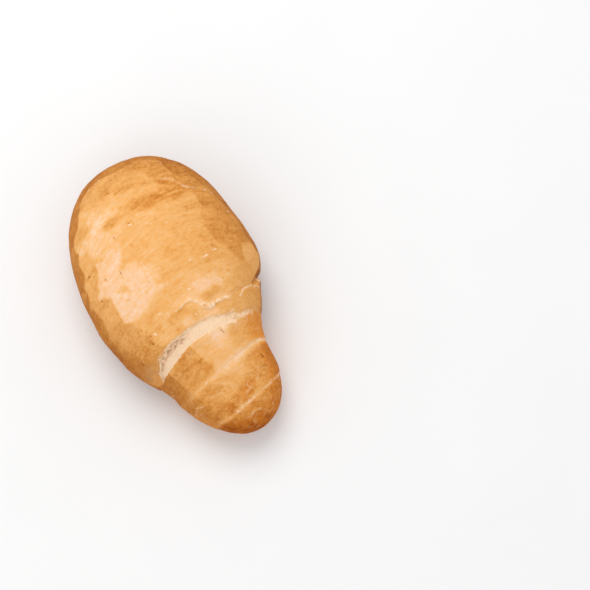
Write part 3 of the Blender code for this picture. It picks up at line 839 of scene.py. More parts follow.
def wrap_field(index):
    """The brownness with painted shade, at index 0, or the orange, at index 1, of the wraps."""
    side, top, right = (levels[index] for levels in SECOND_WRAP)
    second = pull(pull(side, past_top, top), past_right, right)
    side, top, right = (levels[index] for levels in THIRD_WRAP)
    third = pull(pull(side, third_climb, top), third_turn, right)
    values = pull(pull(second, on_third_wrap, third), on_tip, TIP_LEVELS[index])
    values = pull(values, low_facet * on_top, SIDE_LEVELS[index])
    return pull(values, RIM_SHARE * past_rim * on_top, RIM_LEVELS[index])


wrap_bake_and_painted_light = wrap_field(0) + pull(1.0, on_tip, TIP_SLOPE_SHARE) * slope_bake_and_shade
wrap_bake_and_painted_light = np.minimum(wrap_bake_and_painted_light, DARKEST_WRAP)
wrap_orange = wrap_field(1) + SLOPE_ORANGE * ramp(steepness, *SLOPE_ORANGE_SLOPES)
for blotch_x, blotch_y, reach, level, tint in WRAP_BLOTCHES:
    share = WRAP_BLOTCH_SHARE * round_mark(warp_x, warp_y, (blotch_x, blotch_y), reach, WRAP_BLOTCH_EDGE)
    wrap_bake_and_painted_light, wrap_orange = pull(wrap_bake_and_painted_light, share, level), pull(wrap_orange, share, tint)
wrap_bake_and_painted_light, wrap_orange = darken_blotches(wrap_bake_and_painted_light, wrap_orange, 1.0)
print("wraps' bake runs from", round(float(wrap_bake_and_painted_light.min()), 2), "to", round(float(wrap_bake_and_painted_light.max()), 2))

# %% A pale glow along the seams
GLOW_STRENGTH = (
    (0.90, 0.0), (0.97, 0.35), (1.05, 0.7), (1.12, 0.9), (1.20, 0.95), (1.26, 0.70), (1.32, 0.35),
    (1.44, 0.12), (1.75, 0.10), (2.02, 0.25), (2.10, 0.36), (2.25, 0.36), (2.35, 0.30), (2.44, 0.15),
    (2.70, 0.0),
)
GLOW_REACH = ((1.0, 0.0010), (1.2, 0.0022), (1.35, 0.0012), (1.75, 0.0006), (2.0, 0.0006), (2.3, 0.0008))
GLOW_SHIFT, GLOW_BAKE, GLOW_ORANGE = 0.3, 0.14, -0.4

glow = 0.0
for whole in EDGE_TURNS[1:]:
    wound = turns + whole
    seam_width = straight_along(wound, GLOW_REACH)
    from_seam = bell(ragged_stations, along(wound, EDGE_ROUTE) + GLOW_SHIFT * seam_width, seam_width)
    glow = np.maximum(glow, straight_along(wound, GLOW_STRENGTH) * from_seam)
bake_and_painted_light = pull(bake_and_painted_light, on_wraps, pull(wrap_bake_and_painted_light, glow, GLOW_BAKE))
orange = pull(orange, on_wraps, pull(wrap_orange, glow, GLOW_ORANGE))
write_fields(roll_mesh, {"bake_and_painted_light": bake_and_painted_light, "orange": orange})
print("bake runs from", round(float(bake_and_painted_light.min()), 2), "to", round(float(bake_and_painted_light.max()), 2))

# %% [markdown]
# ## Shadow hatching that two pieces share
#
# Under the body's lip the bared crumb gets painted shadow, broken into fine brown strokes.
# The crust's own mesh and a finer piece for the crumb both show the band, and their strokes
# have to meet. So both meshes store how far across and along the band each point is, and one
# pattern reads that.

# %% Places on the torn band
BAND_RADIUS, NARROWEST_BAND = 0.026, 0.0005
SHADOW_HATCHED_ACROSS, SHADOW_HATCHED_FROM_LIP = (0.0, 0.0003), (0.26, 0.62)
SHADOW_HATCHED_FROM_TURN, SHADOW_HATCHED_TO_TURN = (0.262, 0.295), (0.380, 0.405)
LOW_END_TURNS = (0.385, 0.425)


def way_along(turn):
    """How far along the torn band a turn is, in metres."""
    return turn * math.tau * BAND_RADIUS


def write_shadow_hatching(mesh, x, turn):
    """Store where each point is on the torn band and how much painted shadow it gets there."""
    across = x - lip_station(turn)
    from_lip = across / np.maximum(along(turn, TEAR_WIDTH), NARROWEST_BAND)
    shadow_hatched = ramp(across, *SHADOW_HATCHED_ACROSS) * fall(from_lip, *SHADOW_HATCHED_FROM_LIP)
    shadow_hatched = shadow_hatched * ramp(turn, *SHADOW_HATCHED_FROM_TURN) * fall(turn, *SHADOW_HATCHED_TO_TURN)
    write_fields(mesh, {
        "across": across, "along": way_along(turn), "shadow_hatched": shadow_hatched,
        "low end": ramp(turn, *LOW_END_TURNS)})
    print(mesh.name, "has", int((shadow_hatched > 0.5).sum()), "hatched points")


write_shadow_hatching(roll_mesh, ragged_stations, turns)

# %% [markdown]
# ## Bared crumb and pale lines
#
# Dough that was stretched thin bakes paler than the rest. It shows as a smear over the
# upper end of the tear, along the body's lip, along each rolled edge, on the wrinkle and
# the creases, and as short streaks. Each could be a material of its own, but they run
# into each other, so each is a number from 0 to 1 and the shader reads the largest.

# %% Torn crumb, smear and lip
TORN_STEP, TORN_FROM_TURN, TORN_TO_TURN = (-0.0001, 0.0003), (0.20, 0.27), (0.455, 0.475)
SMEAR_TURNS = (
    (0.0, 0.0), (0.05, 0.40), (0.12, 0.70), (0.16, 1.0), (0.24, 1.0), (0.29, 0.7), (0.34, 0.25),
    (0.40, 0.1), (0.44, 0.0),
)
SMEAR_STRENGTH, SMEAR_SHIFT = ((0.15, 1.0), (0.22, 0.6)), 0.0002
SMEAR_WIDTH_SHARE, SMEAR_EXTRA = ((0.24, 0.62), (0.31, 0.36)), ((0.22, 0.0010), (0.28, 0.0003))
FLOOR_STEP, FLOOR_TURNS, FLOOR_STRENGTH = (-0.0018, 0.0008), (0.05, 0.13), 0.95
LIP_TURNS = ((0.20, 0.0), (0.27, 0.9), (0.33, 0.85), (0.36, 0.6), (0.40, 0.3), (0.44, 0.0))
LIP_SHIFT, LIP_REACH = 0.0001, 0.00035

lip, off_wraps = lip_station(turns), 1.0 - on_wraps
torn = ramp(ragged_stations - lip, *TORN_STEP) * off_wraps
torn = torn * ramp(turns, *TORN_FROM_TURN) * fall(turns, *TORN_TO_TURN)
smear_middle = 0.5 * (lip + along(turns, EDGE_ROUTE)) + SMEAR_SHIFT
smear_reach = straight_along(turns, SMEAR_WIDTH_SHARE) * along(turns, TEAR_WIDTH)
smear_reach = smear_reach + straight_along(turns, SMEAR_EXTRA)
smear = bell(stations, smear_middle, smear_reach) * straight_along(turns, SMEAR_STRENGTH)
on_floor = ramp(ragged_stations - lip, *FLOOR_STEP) * off_wraps * ramp(turns, *FLOOR_TURNS)
smear = np.maximum(smear, FLOOR_STRENGTH * on_floor) * straight_along(turns, SMEAR_TURNS)
lip_line = bell(ragged_stations, lip - LIP_SHIFT, LIP_REACH) * straight_along(turns, LIP_TURNS)
print("torn points:", int((torn > 0.5).sum()), "smeared points:", int((smear > 0.5).sum()))

# %% Pale lines along the rolled edges
SEAM_STRENGTH = (
    (0.50, 0.0), (0.75, 0.15), (0.95, 0.5), (1.03, 0.9), (1.10, 0.64), (1.20, 0.48), (1.30, 0.24),
    (1.44, 0.10), (1.75, 0.20), (1.96, 0.42), (2.04, 0.50), (2.30, 0.46), (2.40, 0.34), (2.47, 0.20),
    (2.70, 0.0),
)
SEAM_SHARE, SEAM_HALF_WIDTH = 0.72, 0.0008
SEAM_SKIRT, SEAM_SKIRT_SHARE, SEAM_STEP = ((1.2, 0.0036), (1.7, 0.0015)), 0.42, (-0.0004, 0.0004)

seam_line = 0.0
for whole in EDGE_TURNS[1:]:
    wound = turns + whole
    past = ragged_stations - along(wound, EDGE_ROUTE)
    skirt = SEAM_SKIRT_SHARE * bell(past, 0.0, straight_along(wound, SEAM_SKIRT))
    line = bell(past, 0.0, SEAM_HALF_WIDTH) + skirt * ramp(past, *SEAM_STEP)
    seam_line = np.maximum(seam_line, SEAM_SHARE * straight_along(wound, SEAM_STRENGTH) * line)
print("seam points:", int((seam_line > 0.3).sum()))

# %% Pale marks and a hazy patch of painted shade, and what the crust stores
WRINKLE_PALE, PAD_PALE, SKIRT_PALE, LOW_WRINKLE_PALE = 0.72, 0.58, 0.32, 0.4
CREASE_PALE, STREAK_PALE, RIM_PALE = 0.42, 0.72, 0.26
RIM_LINE_POINTS, RIM_LINE_HALF_WIDTH = 28, 0.9
# A soft grey-tan patch on the flank beside the band's low end: painted shade.
HAZE_X, HAZE_Y, HAZE_REACH_X, HAZE_REACH_Y = 24.0, -25.2, 3.0, 4.2
HAZE_STRENGTH, HAZE_EDGE, HAZE_HEIGHTS = 0.37, (0.4, 1.5), (0.012, 0.022)
CALM_SLOPES = (0.20, 0.60)

rim_line = line_mark(warp_x, warp_y, CROWN[:RIM_LINE_POINTS], RIM_LINE_HALF_WIDTH) * on_top
pale_marks = np.maximum.reduce((
    WRINKLE_PALE * wrinkle, PAD_PALE * wrinkle_pad, SKIRT_PALE * wrinkle_skirt,
    LOW_WRINKLE_PALE * low_wrinkle, CREASE_PALE * crease_ridge,
    STREAK_PALE * pale_streaks * off_wraps, RIM_PALE * rim_line))
from_haze = np.hypot((mark_x - HAZE_X) / HAZE_REACH_X, (mark_y - HAZE_Y) / HAZE_REACH_Y)
shade_haze = HAZE_STRENGTH * fall(from_haze, *HAZE_EDGE) * ramp(centred[:, 2], *HAZE_HEIGHTS)
write_fields(roll_mesh, {
    "torn": torn,
    "cream": np.maximum.reduce((smear, lip_line, seam_line, pale_marks * on_top)),
    "veins": pale_streaks * on_wraps * on_top,
    "shade_haze": shade_haze * off_wraps,
    # Pores and slits are painted dark: painted shade in their hollows.
    "pit_shade": np.maximum(pits, slits),
    "wraps": on_wraps,
    "calm": ramp(steepness, *CALM_SLOPES),
    "plates": 1.0 - crown,
})

# %% [markdown]
# ## Nodes without a tangle
#
# A material is a tree of small steps. These helpers add one step each and hand back
# its result, so that a whole crust reads as a list of sums. A value or a colour may be
# a plain one or the result of an earlier step.

# %% Helpers for node trees
def feed(tree, socket, value):
    if isinstance(value, bpy.types.NodeSocket):
        tree.links.new(value, socket)
    else:
        socket.default_value = value


def add_node(tree, kind, inputs=(), **settings):
    made = tree.nodes.new(kind)
    for name, value in settings.items():
        setattr(made, name, value)
    for name, value in dict(inputs).items():
        feed(tree, made.inputs[name], value)
    return made


def calc(tree, operation, first, second=0.0, third=0.0):
    made = add_node(tree, "ShaderNodeMath", operation=operation)
    for socket, value in zip(made.inputs, (first, second, third)):
        feed(tree, socket, value)
    return made.outputs[0]


def times(tree, first, second):
    return calc(tree, "MULTIPLY", first, second)


def rise(tree, value, start, end, low=0.0, high=1.0):
    """A smooth step from low at start to high at end."""
    made = add_node(
        tree, "ShaderNodeMapRange", interpolation_type="SMOOTHSTEP",
        inputs={"Value": value, "From Min": start, "From Max": end, "To Min": low, "To Max": high})
    return made.outputs[0]


def blended(tree, share, low, high):
    """A smooth way from low to high as the share goes from 0 to 1."""
    return rise(tree, share, 0.0, 1.0, low, high)


def mix_colours(tree, share, first, second, blend="MIX"):
    made = add_node(tree, "ShaderNodeMix", data_type="RGBA", blend_type=blend)
    for index, value in ((0, share), (6, first), (7, second)):
        feed(tree, made.inputs[index], value)
    return made.outputs[2]


def field(tree, name):
    """A number that was stored on the mesh."""
    return add_node(tree, "ShaderNodeAttribute", attribute_name=name).outputs["Fac"]


def add_swings(tree, total, *swings):
    """Add to the total how far each pattern is off its middle, times its strength."""
    for pattern, strength in swings:
        total = calc(tree, "ADD", total, times(tree, calc(tree, "SUBTRACT", pattern, 0.5), strength))
    return total


# %% Patterns for node trees
def spots(tree, places, size, detail=2.0, roughness=0.5, distortion=0.0):
    """Noise whose blobs are about as large as size, around 0.5."""
    made = add_node(tree, "ShaderNodeTexNoise", inputs={
        "Vector": places, "Scale": 1.0 / size, "Detail": detail,
        "Roughness": roughness, "Distortion": distortion})
    return made.outputs["Fac"]


def drawn_out(tree, places, share, *pattern):
    """Noise drawn out across the roll: its share of the detail there, then as in spots."""
    shrunk = add_node(tree, "ShaderNodeMapping", inputs={"Vector": places, "Scale": (1.0, share, share)})
    return spots(tree, shrunk.outputs[0], *pattern)


def threads(tree, noise_value, half_width):
    """Thin threads where a noise crosses its middle."""
    crossing = calc(tree, "ABSOLUTE", calc(tree, "SUBTRACT", noise_value, 0.5))
    return rise(tree, crossing, half_width, 0.0)


def cells(tree, places, cells_per_metre):
    """Cells, as the distance from each one's middle and a random tone for each."""
    made = add_node(tree, "ShaderNodeTexVoronoi", inputs={"Vector": places, "Scale": cells_per_metre})
    tone = add_node(tree, "ShaderNodeSeparateColor", inputs={"Color": made.outputs["Color"]})
    return made.outputs["Distance"], tone.outputs[0]


# %% Colours as seen, turned into light
def seen(red, green, blue):
    """A colour as a screen shows it, from 0 to 255, as the shader's linear colour."""
    linear = []
    for part in (red / 255.0, green / 255.0, blue / 255.0):
        linear.append(part / 12.92 if part <= 0.04045 else ((part + 0.055) / 1.055) ** 2.4)
    return (*linear, 1.0)


CRUST_COLOURS = (
    (0.00, (254, 219, 182)), (0.15, (250, 202, 152)), (0.25, (246, 191, 130)), (0.37, (242, 181, 110)),
    (0.47, (235, 171, 98)), (0.57, (222, 156, 84)), (0.66, (207, 140, 69)), (0.75, (193, 124, 55)),
    (0.86, (170, 101, 37)), (1.00, (138, 70, 18)),
)
ORANGE_TINT, GREY_TINT = (0.978, 0.765, 0.46), (1.000, 1.010, 1.14)


def crust_colours(tree, value):
    """From pale dough to dark crust."""
    ramp_node = tree.nodes.new("ShaderNodeValToRGB")
    elements = ramp_node.color_ramp.elements
    first, last = CRUST_COLOURS[0], CRUST_COLOURS[-1]
    elements[0].position, elements[0].color = first[0], seen(*first[1])
    elements[1].position, elements[1].color = last[0], seen(*last[1])
    for position, colour in CRUST_COLOURS[1:-1]:
        elements.new(position).color = seen(*colour)
    feed(tree, ramp_node.inputs["Fac"], value)
    return ramp_node.outputs["Color"]


print("crust colours:", len(CRUST_COLOURS), "stops, from", CRUST_COLOURS[0][1], "to", CRUST_COLOURS[-1][1])

# %% [markdown]
# ## Layers over a colour
#
# Cream lines, flecks, the painted shade of the haze and of the slits, and the rest all work
# alike: a colour of their own is laid over what is there, at most as strongly as a number
# says. So one table holds the strength and the colour of each, and another how its mask
# gets ragged edges: where the stored field counts, and how strongly each pattern stirs that.

# %% Layers and ragged masks
LAYERS = {
    "flecks": (0.12, (252, 214, 168)),
    "dots": (0.40, (190, 104, 40)),
    "fibres": (0.30, (248, 200, 146)),
    # painted shade beside the band's low end
    "shade_haze": (0.55, (205, 168, 124)),
    "cream": (0.92, (255, 221, 185)),
    "veins": (0.50, (248, 200, 148)),
    "low end": (0.65, (206, 170, 126)),
    # painted shadow under the body's lip, in strands
    "shadow_hatching": (0.72, (172, 124, 78)),
    # painted shade in the pores and slits
    "pit_shade": (0.72, (152, 78, 26)),
    "fade": (1.00, (255, 219, 181)),
    "creases": (0.45, (222, 184, 144)),
    # painted shade in the crumb's slits
    "slit_shade": (0.55, (174, 128, 88)),
}
MASKS = {
    "shade_haze": ((0.05, 0.95), None, {"ragged": 0.5, "clouds": 0.6}),
    "cream": ((0.25, 0.95), (0.02, 0.16), {"ragged": 1.6, "fine": 0.7, "clouds": 0.9}),
    "veins": ((0.45, 1.25), (0.05, 0.7), {"ragged": 2.4, "fine": 1.2}),
    "torn": ((0.42, 0.58), None, {"ragged": 0.4}),
    "slit_shade": ((0.15, 1.20), (0.0, 0.4), {"ragged": 0.8, "fine": 2.2}),
}


def lay_over(tree, colour, name, mask):
    """The colour with the named layer over it where the mask says."""
    strength, over = LAYERS[name]
    return mix_colours(tree, times(tree, mask, strength), colour, seen(*over))


def ragged_mask(tree, name, patterns):
    """A stored field as a mask with ragged edges, which a guard keeps to the field's place."""
    edge, guard, stirring = MASKS[name]
    stirred = add_swings(
        tree, field(tree, name), *((patterns[pattern], strength) for pattern, strength in stirring.items()))
    mask = rise(tree, stirred, *edge)
    return mask if guard is None else times(tree, mask, rise(tree, field(tree, name), *guard))


def tinted(tree, share, colour, tint):
    """The colour times the tint, as far as the share says. A share below 0 counts as 0."""
    return mix_colours(tree, share, colour, mix_colours(tree, 1.0, colour, (*tint, 1.0), "MULTIPLY"))


def shaded(tree, colour, shade):
    """The colour, lightened and darkened by a shade around 1."""
    grey = add_node(tree, "ShaderNodeCombineColor", inputs={"Red": shade, "Green": shade, "Blue": shade})
    return mix_colours(tree, 1.0, colour, grey.outputs[0], "MULTIPLY")


print("layers:", *LAYERS)

# %% [markdown]
# ## Grain and shadow hatching that crust and crumb share
#
# Both the browned crust and the bared crumb are flour and gas bubbles, so one node
# group gives both of them their fine grain: a shade that lightens and darkens the
# colour, small pale flecks, and a height for the bumps. A second group draws the
# painted shadow under the lip, in strands over the torn band, at the places that both
# meshes stored.

# %% The dough grain and torn shadow hatching groups
GRAIN_COARSE, GRAIN_FINE, COARSE_SHARE = (0.0016, 3.0, 0.6), (0.0005, 2.0, 0.6), 0.4
BUBBLES_PER_METRE, BUBBLE_PICK, FLECK_EDGE = 620.0, 0.80, (0.34, 0.20)
STRAND_PATTERN, STRAND_STRETCH, STRAND_EDGE = (0.00050, 3.0, 0.6, 0.3), 0.22, (0.43, 0.56)


def new_group(name, inputs, outputs):
    """A node group with these inputs and with numbers as its outputs."""
    group = bpy.data.node_groups.new(name, "ShaderNodeTree")
    for socket, kind in inputs:
        group.interface.new_socket(socket, in_out="INPUT", socket_type=kind)
    for socket in outputs:
        group.interface.new_socket(socket, in_out="OUTPUT", socket_type="NodeSocketFloat")
    return group, group.nodes.new("NodeGroupOutput").inputs


def dough_grain_group():
    group, results = new_group(
        "dough_grain", (("Places", "NodeSocketVector"), ("Shade Strength", "NodeSocketFloat")),
        ("Shade", "Flecks", "Height"))
    given = group.nodes.new("NodeGroupInput").outputs
    coarse = times(group, spots(group, given["Places"], *GRAIN_COARSE), COARSE_SHARE)
    fine = times(group, spots(group, given["Places"], *GRAIN_FINE), 1.0 - COARSE_SHARE)
    grain = calc(group, "ADD", coarse, fine)
    feed(group, results["Shade"], add_swings(group, 1.0, (grain, given["Shade Strength"])))
    bubble, tone = cells(group, given["Places"], BUBBLES_PER_METRE)
    fleck = times(group, rise(group, bubble, *FLECK_EDGE), calc(group, "GREATER_THAN", tone, BUBBLE_PICK))
    feed(group, results["Flecks"], fleck)
    feed(group, results["Height"], grain)
    return group


def torn_shadow_hatching_group():
    group, results = new_group("torn_shadow_hatching", (), ("Mask",))
    way = times(group, field(group, "along"), STRAND_STRETCH)
    on_band = add_node(group, "ShaderNodeCombineXYZ", inputs={"X": field(group, "across"), "Y": way})
    strands = rise(group, spots(group, on_band.outputs[0], *STRAND_PATTERN), *STRAND_EDGE)
    feed(group, results["Mask"], times(group, strands, field(group, "shadow_hatched")))
    return group


grain_group, shadow_hatching_group = dough_grain_group(), torn_shadow_hatching_group()
print("groups:", grain_group.name, shadow_hatching_group.name)


def dough_grain(tree, places, strength):
    made = add_node(
        tree, "ShaderNodeGroup", node_tree=grain_group,
        inputs={"Places": places, "Shade Strength": strength}).outputs
    return made["Shade"], made["Flecks"], made["Height"]


def shadow_hatched_over(tree, colour):
    """The colour with the painted shadow strands of the torn band over it."""
    strands = add_node(tree, "ShaderNodeGroup", node_tree=shadow_hatching_group).outputs["Mask"]
    return lay_over(tree, colour, "shadow_hatching", strands)


# %% A new material with its shader
def new_material(name, roughness, specular):
    material = bpy.data.materials.new(name)
    material.use_nodes = True
    tree = material.node_tree
    shader = tree.nodes["Principled BSDF"]
    shader.inputs["Roughness"].default_value = roughness
    shader.inputs["Specular IOR Level"].default_value = specular
    places = tree.nodes.new("ShaderNodeTexCoord").outputs["Object"]
    return material, tree, shader, places


def bump(tree, shader, height, distance):
    made = add_node(tree, "ShaderNodeBump", inputs={"Height": height, "Distance": distance})
    tree.links.new(made.outputs["Normal"], shader.inputs["Normal"])


# %% [markdown]
# ## The crust
#
# The stored browning, which also carries painted shade and a painted highlight, is
# stirred by noise, and a colour ramp turns it into crust. Faint streaks run across the roll
# and follow the way the strip was rolled, so the places are bent before they are read. Pale
# lines, bared crumb and the painted shade of the pits are laid over that, each with its
# own ragged mask.

# %% Places for the crust's patterns
WANDER_SIZE, WANDER_REACH = 0.003, 0.002


def wandering(tree, places):
    """The same places, pushed about by noise, so that what reads them has ragged edges."""
    noise_node = add_node(
        tree, "ShaderNodeTexNoise", inputs={"Vector": places, "Scale": 1.0 / WANDER_SIZE, "Detail": 2.0})
    push = add_node(tree, "ShaderNodeVectorMath", operation="MULTIPLY_ADD")
    feed(tree, push.inputs[0], noise_node.outputs["Color"])
    push.inputs[1].default_value = (WANDER_REACH, WANDER_REACH, WANDER_REACH)
    feed(tree, push.inputs[2], places)
    return push.outputs[0]


def bent_across(tree, places):
    """The same places, sheared so that straight streaks follow the roll's turns."""
    parts = add_node(tree, "ShaderNodeSeparateXYZ", inputs={"Vector": places}).outputs
    lean = calc(tree, "MULTIPLY_ADD", parts[1], BEND_CHANGE, BEND)
    bent = calc(tree, "MULTIPLY_ADD", parts[1], lean, parts[0])
    joined = add_node(tree, "ShaderNodeCombineXYZ", inputs={"X": bent, "Y": parts[1], "Z": parts[2]})
    return joined.outputs[0]


# %% How brown and how orange the crust is
RAGGED_PATTERN, MOTTLE_PATTERN = (0.0016, 3.0), (0.0045, 2.0)
CLOUDS = (0.30, 0.0042, 3.0, 0.55)
BROAD_STREAKS, FINE_STREAKS = (0.24, 0.0013, 3.0, 0.6), (0.26, 0.0006, 2.0, 0.6)
PLATE_SIZE, PLATE_SWING, PLATE_SWING_RIM = 0.0055, 0.025, 0.07
RAGGED_BAKE, BROAD_BAKE, FINE_BAKE, MOTTLE_BAKE = 0.10, 0.30, 0.24, 0.12
CLOUD_BAKE, CALM_BAKE, GRAIN_BAKE = (0.30, 0.13), (1.0, 0.5), (0.80, 0.50)
CLOUD_ORANGE, BROAD_ORANGE, MOTTLE_ORANGE, GRAIN_ORANGE = (0.9, 0.4), 0.4, 1.6, 2.6
ORANGE_STRENGTH, GREY_STRENGTH = 0.42, -1.0


def crust_patterns(tree, places, grain):
    """The noises that stir the crust's colour and its masks, by name."""
    across = bent_across(tree, places)
    return {
        "ragged": spots(tree, places, *RAGGED_PATTERN),
        "clouds": drawn_out(tree, across, *CLOUDS),
        "broad": drawn_out(tree, across, *BROAD_STREAKS),
        "fine": drawn_out(tree, across, *FINE_STREAKS),
        "mottle": spots(tree, places, *MOTTLE_PATTERN),
        "grain": grain,
    }


def crust_colour_with_painted_light(tree, places, patterns):
    """The crust's colour: its stored brownness with painted shade and highlight, and its orange, stirred by
    the patterns.
    """
    on_wraps, calm = field(tree, "wraps"), field(tree, "calm")
    quiet = blended(tree, calm, *CALM_BAKE)
    _, plate_tone = cells(tree, wandering(tree, places), 1.0 / PLATE_SIZE)
    plate_swing = calc(tree, "MULTIPLY_ADD", field(tree, "plates"), PLATE_SWING_RIM, PLATE_SWING)
    browning_and_painted_light = add_swings(
        tree, field(tree, "bake_and_painted_light"), (plate_tone, plate_swing), (patterns["ragged"], RAGGED_BAKE),
        (patterns["clouds"], times(tree, quiet, blended(tree, on_wraps, *CLOUD_BAKE))),
        (patterns["broad"], times(tree, quiet, BROAD_BAKE)),
        (patterns["fine"], times(tree, quiet, FINE_BAKE)),
        (patterns["grain"], blended(tree, calm, *GRAIN_BAKE)),
        (patterns["mottle"], times(tree, on_wraps, MOTTLE_BAKE)))
    orange = add_swings(
        tree, field(tree, "orange"),
        (patterns["clouds"], blended(tree, on_wraps, *CLOUD_ORANGE)), (patterns["broad"], BROAD_ORANGE),
        (patterns["mottle"], times(tree, on_wraps, MOTTLE_ORANGE)),
        (patterns["grain"], times(tree, on_wraps, GRAIN_ORANGE)))
    colour = crust_colours(tree, browning_and_painted_light)
    colour = tinted(tree, times(tree, orange, ORANGE_STRENGTH), colour, ORANGE_TINT)
    return tinted(tree, times(tree, orange, GREY_STRENGTH), colour, GREY_TINT)


# %% Dots and fibres in the crust
DOT_SIZE, DOT_EDGE, DOT_PICK = 0.0031, (0.13, 0.06), (0.83, 0.85)
FIBRE_PATTERN, FIBRE_HALF_WIDTH, FIBRE_CLOUDS = (0.6, 0.0024, 2.0, 0.5, 0.6), 0.05, (0.45, 0.62)


def with_dots_and_fibres(tree, colour, places, clouds):
    """The colour with small brown dots, and with pale fibres on the wraps."""
    dot, dot_pick = cells(tree, places, 1.0 / DOT_SIZE)
    dots = times(tree, rise(tree, dot, *DOT_EDGE), rise(tree, dot_pick, *DOT_PICK))
    colour = lay_over(tree, colour, "dots", dots)
    fibres = drawn_out(tree, bent_across(tree, places), *FIBRE_PATTERN)
    where = times(tree, field(tree, "wraps"), rise(tree, clouds, *FIBRE_CLOUDS))
    return lay_over(tree, colour, "fibres", times(tree, threads(tree, fibres, FIBRE_HALF_WIDTH), where))


# %% The crust material
CRUST_SHADE, BARED_COLOUR, PIT_EDGES = (0.44, 0.54), (252, 218, 182), (0.2, 0.9)
CREAM_DULLNESS, CRUST_ROUGHNESS = 0.6, (0.58, 0.85)
CRUST_BUMP, STREAK_BUMP_SHARE = 0.00012, 0.6


def crust_material():
    material, tree, shader, places = new_material("baked_crust", roughness=0.60, specular=0.02)
    shade, flecks, grain = dough_grain(tree, places, blended(tree, field(tree, "wraps"), *CRUST_SHADE))
    patterns = crust_patterns(tree, places, grain)
    colour = lay_over(tree, crust_colour_with_painted_light(tree, places, patterns), "flecks", flecks)
    colour = with_dots_and_fibres(tree, colour, places, patterns["clouds"])
    masks = {name: ragged_mask(tree, name, patterns) for name in ("shade_haze", "cream", "veins", "torn")}
    for name in ("shade_haze", "cream", "veins"):
        colour = lay_over(tree, colour, name, masks[name])
    bared = lay_over(tree, seen(*BARED_COLOUR), "low end", field(tree, "low end"))
    colour = shadow_hatched_over(tree, mix_colours(tree, masks["torn"], colour, bared))
    colour = lay_over(tree, colour, "pit_shade", rise(tree, field(tree, "pit_shade"), *PIT_EDGES))
    feed(tree, shader.inputs["Base Color"], shaded(tree, colour, shade))
    dull = calc(tree, "MAXIMUM", times(tree, masks["cream"], CREAM_DULLNESS), masks["torn"])
    feed(tree, shader.inputs["Roughness"], blended(tree, dull, *CRUST_ROUGHNESS))
    height = calc(tree, "ADD", times(tree, patterns["fine"], STREAK_BUMP_SHARE), grain)
    bump(tree, shader, height, CRUST_BUMP)
    return material


# %% [markdown]
# ## Putting the crust in the frame
#
# The finished mesh becomes an object at the origin. It stands for the frame's solid and
# moves with its body.

# %% Finish a piece
def finish_piece(mesh, material):
    """Shade a mesh smooth, give it its material and hand it to the frame."""
    mesh.shade_smooth()
    mesh.materials.append(material)
    piece = bpy.data.objects.new(mesh.name, mesh)
    bpy.context.scene.collection.objects.link(piece)
    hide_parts(NODE)
    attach(piece, BODY)
    mesh.calc_loop_triangles()
    print(mesh.name, "has", len(mesh.loop_triangles), "triangles")
    return piece


finish_piece(roll_mesh, crust_material())

# %% [markdown]
# ## The torn crumb
#
# Where the lip drew back, the oven bared soft crumb that was pulled into webs. It lies
# deepest under the lip and climbs to the next wrap's edge. A fine ball of its own is
# pressed into the tear, so that its webs and slits can be far smaller than the crust's
# mesh allows: its poles are the two ends of the tear.

# %% Shape of the crumb
CRUMB_SEGMENTS, CRUMB_RINGS = 150, 290
CRUMB_TURNS = (0.205, 0.444)
CRUMB_UNDER_LIP, CRUMB_ONTO_WRAP, CRUMB_THICKNESS = 0.0007, 0.0004, 0.0012
CRUMB_CLOSING_POWERS = (2.4, 8.0)

crumb_mesh = new_ball("torn_crumb", CRUMB_SEGMENTS, CRUMB_RINGS)
crumb_pole, crumb_round = ball_shares(crumb_mesh)
crumb_turn = CRUMB_TURNS[0] + crumb_pole * (CRUMB_TURNS[1] - CRUMB_TURNS[0])
is_top = crumb_round <= 0.5
from_lip = np.where(is_top, crumb_round * 2.0, 2.0 - crumb_round * 2.0)
from_middle = 2.0 * crumb_pole - 1.0
closing_power = np.where(from_middle < 0.0, *CRUMB_CLOSING_POWERS)
closing = np.sqrt(1.0 - np.abs(from_middle) ** closing_power)
low_x = lip_station(crumb_turn) - CRUMB_UNDER_LIP
high_x = along(crumb_turn, EDGE_ROUTE) + CRUMB_ONTO_WRAP
crumb_x = 0.5 * (low_x + high_x) + (from_lip - 0.5) * (high_x - low_x) * closing
print("the crumb has", len(crumb_mesh.polygons), "faces")

# %% Webs and strokes of the crumb
STROKES = (
    ((23.8, -20.4), (22.2, -18.8), (21.2, -16.9), (20.6, -15.2), (20.3, -13.2), (20.2, -11.4)),
    ((24.9, -20.9), (22.9, -19.3), (22.3, -16.9), (21.8, -14.6), (21.2, -12.7), (20.8, -10.8)),
    ((21.0, -12.6), (20.8, -11.4)), ((19.3, -9.4), (19.2, -8.3), (19.0, -7.2)),
    ((19.8, -10.6), (19.6, -9.8)), ((20.7, -10.8), (21.0, -9.8), (22.2, -8.5)),
    ((18.4, -3.3), (18.6, -2.4)), ((19.2, -2.3), (19.5, -1.8)), ((19.3, -6.2), (20.2, -5.8)),
    ((22.0, -14.2), (22.2, -12.4)),
)
STROKE_HALF_WIDTH, STROKE_DEPTH, STROKE_SHIFT = 1.05, 0.00022, 1.0
STROKE_WAVER_SIZE, STROKE_WAVER = 0.0012, 0.35
WEB_SIZE, WEB_STRETCH, WEB_HEIGHT, WEB_MIDDLE, WEB_LEAST = 0.0010, 0.22, 0.00030, 0.6, 0.15
WEB_FROM_LIP, WEB_FROM_TURN, WEB_TO_TURN = (0.20, 0.60), (0.24, 0.29), (0.37, 0.42)
CREASE_SIZE, CREASE_HEIGHT = 0.0020, 0.00012

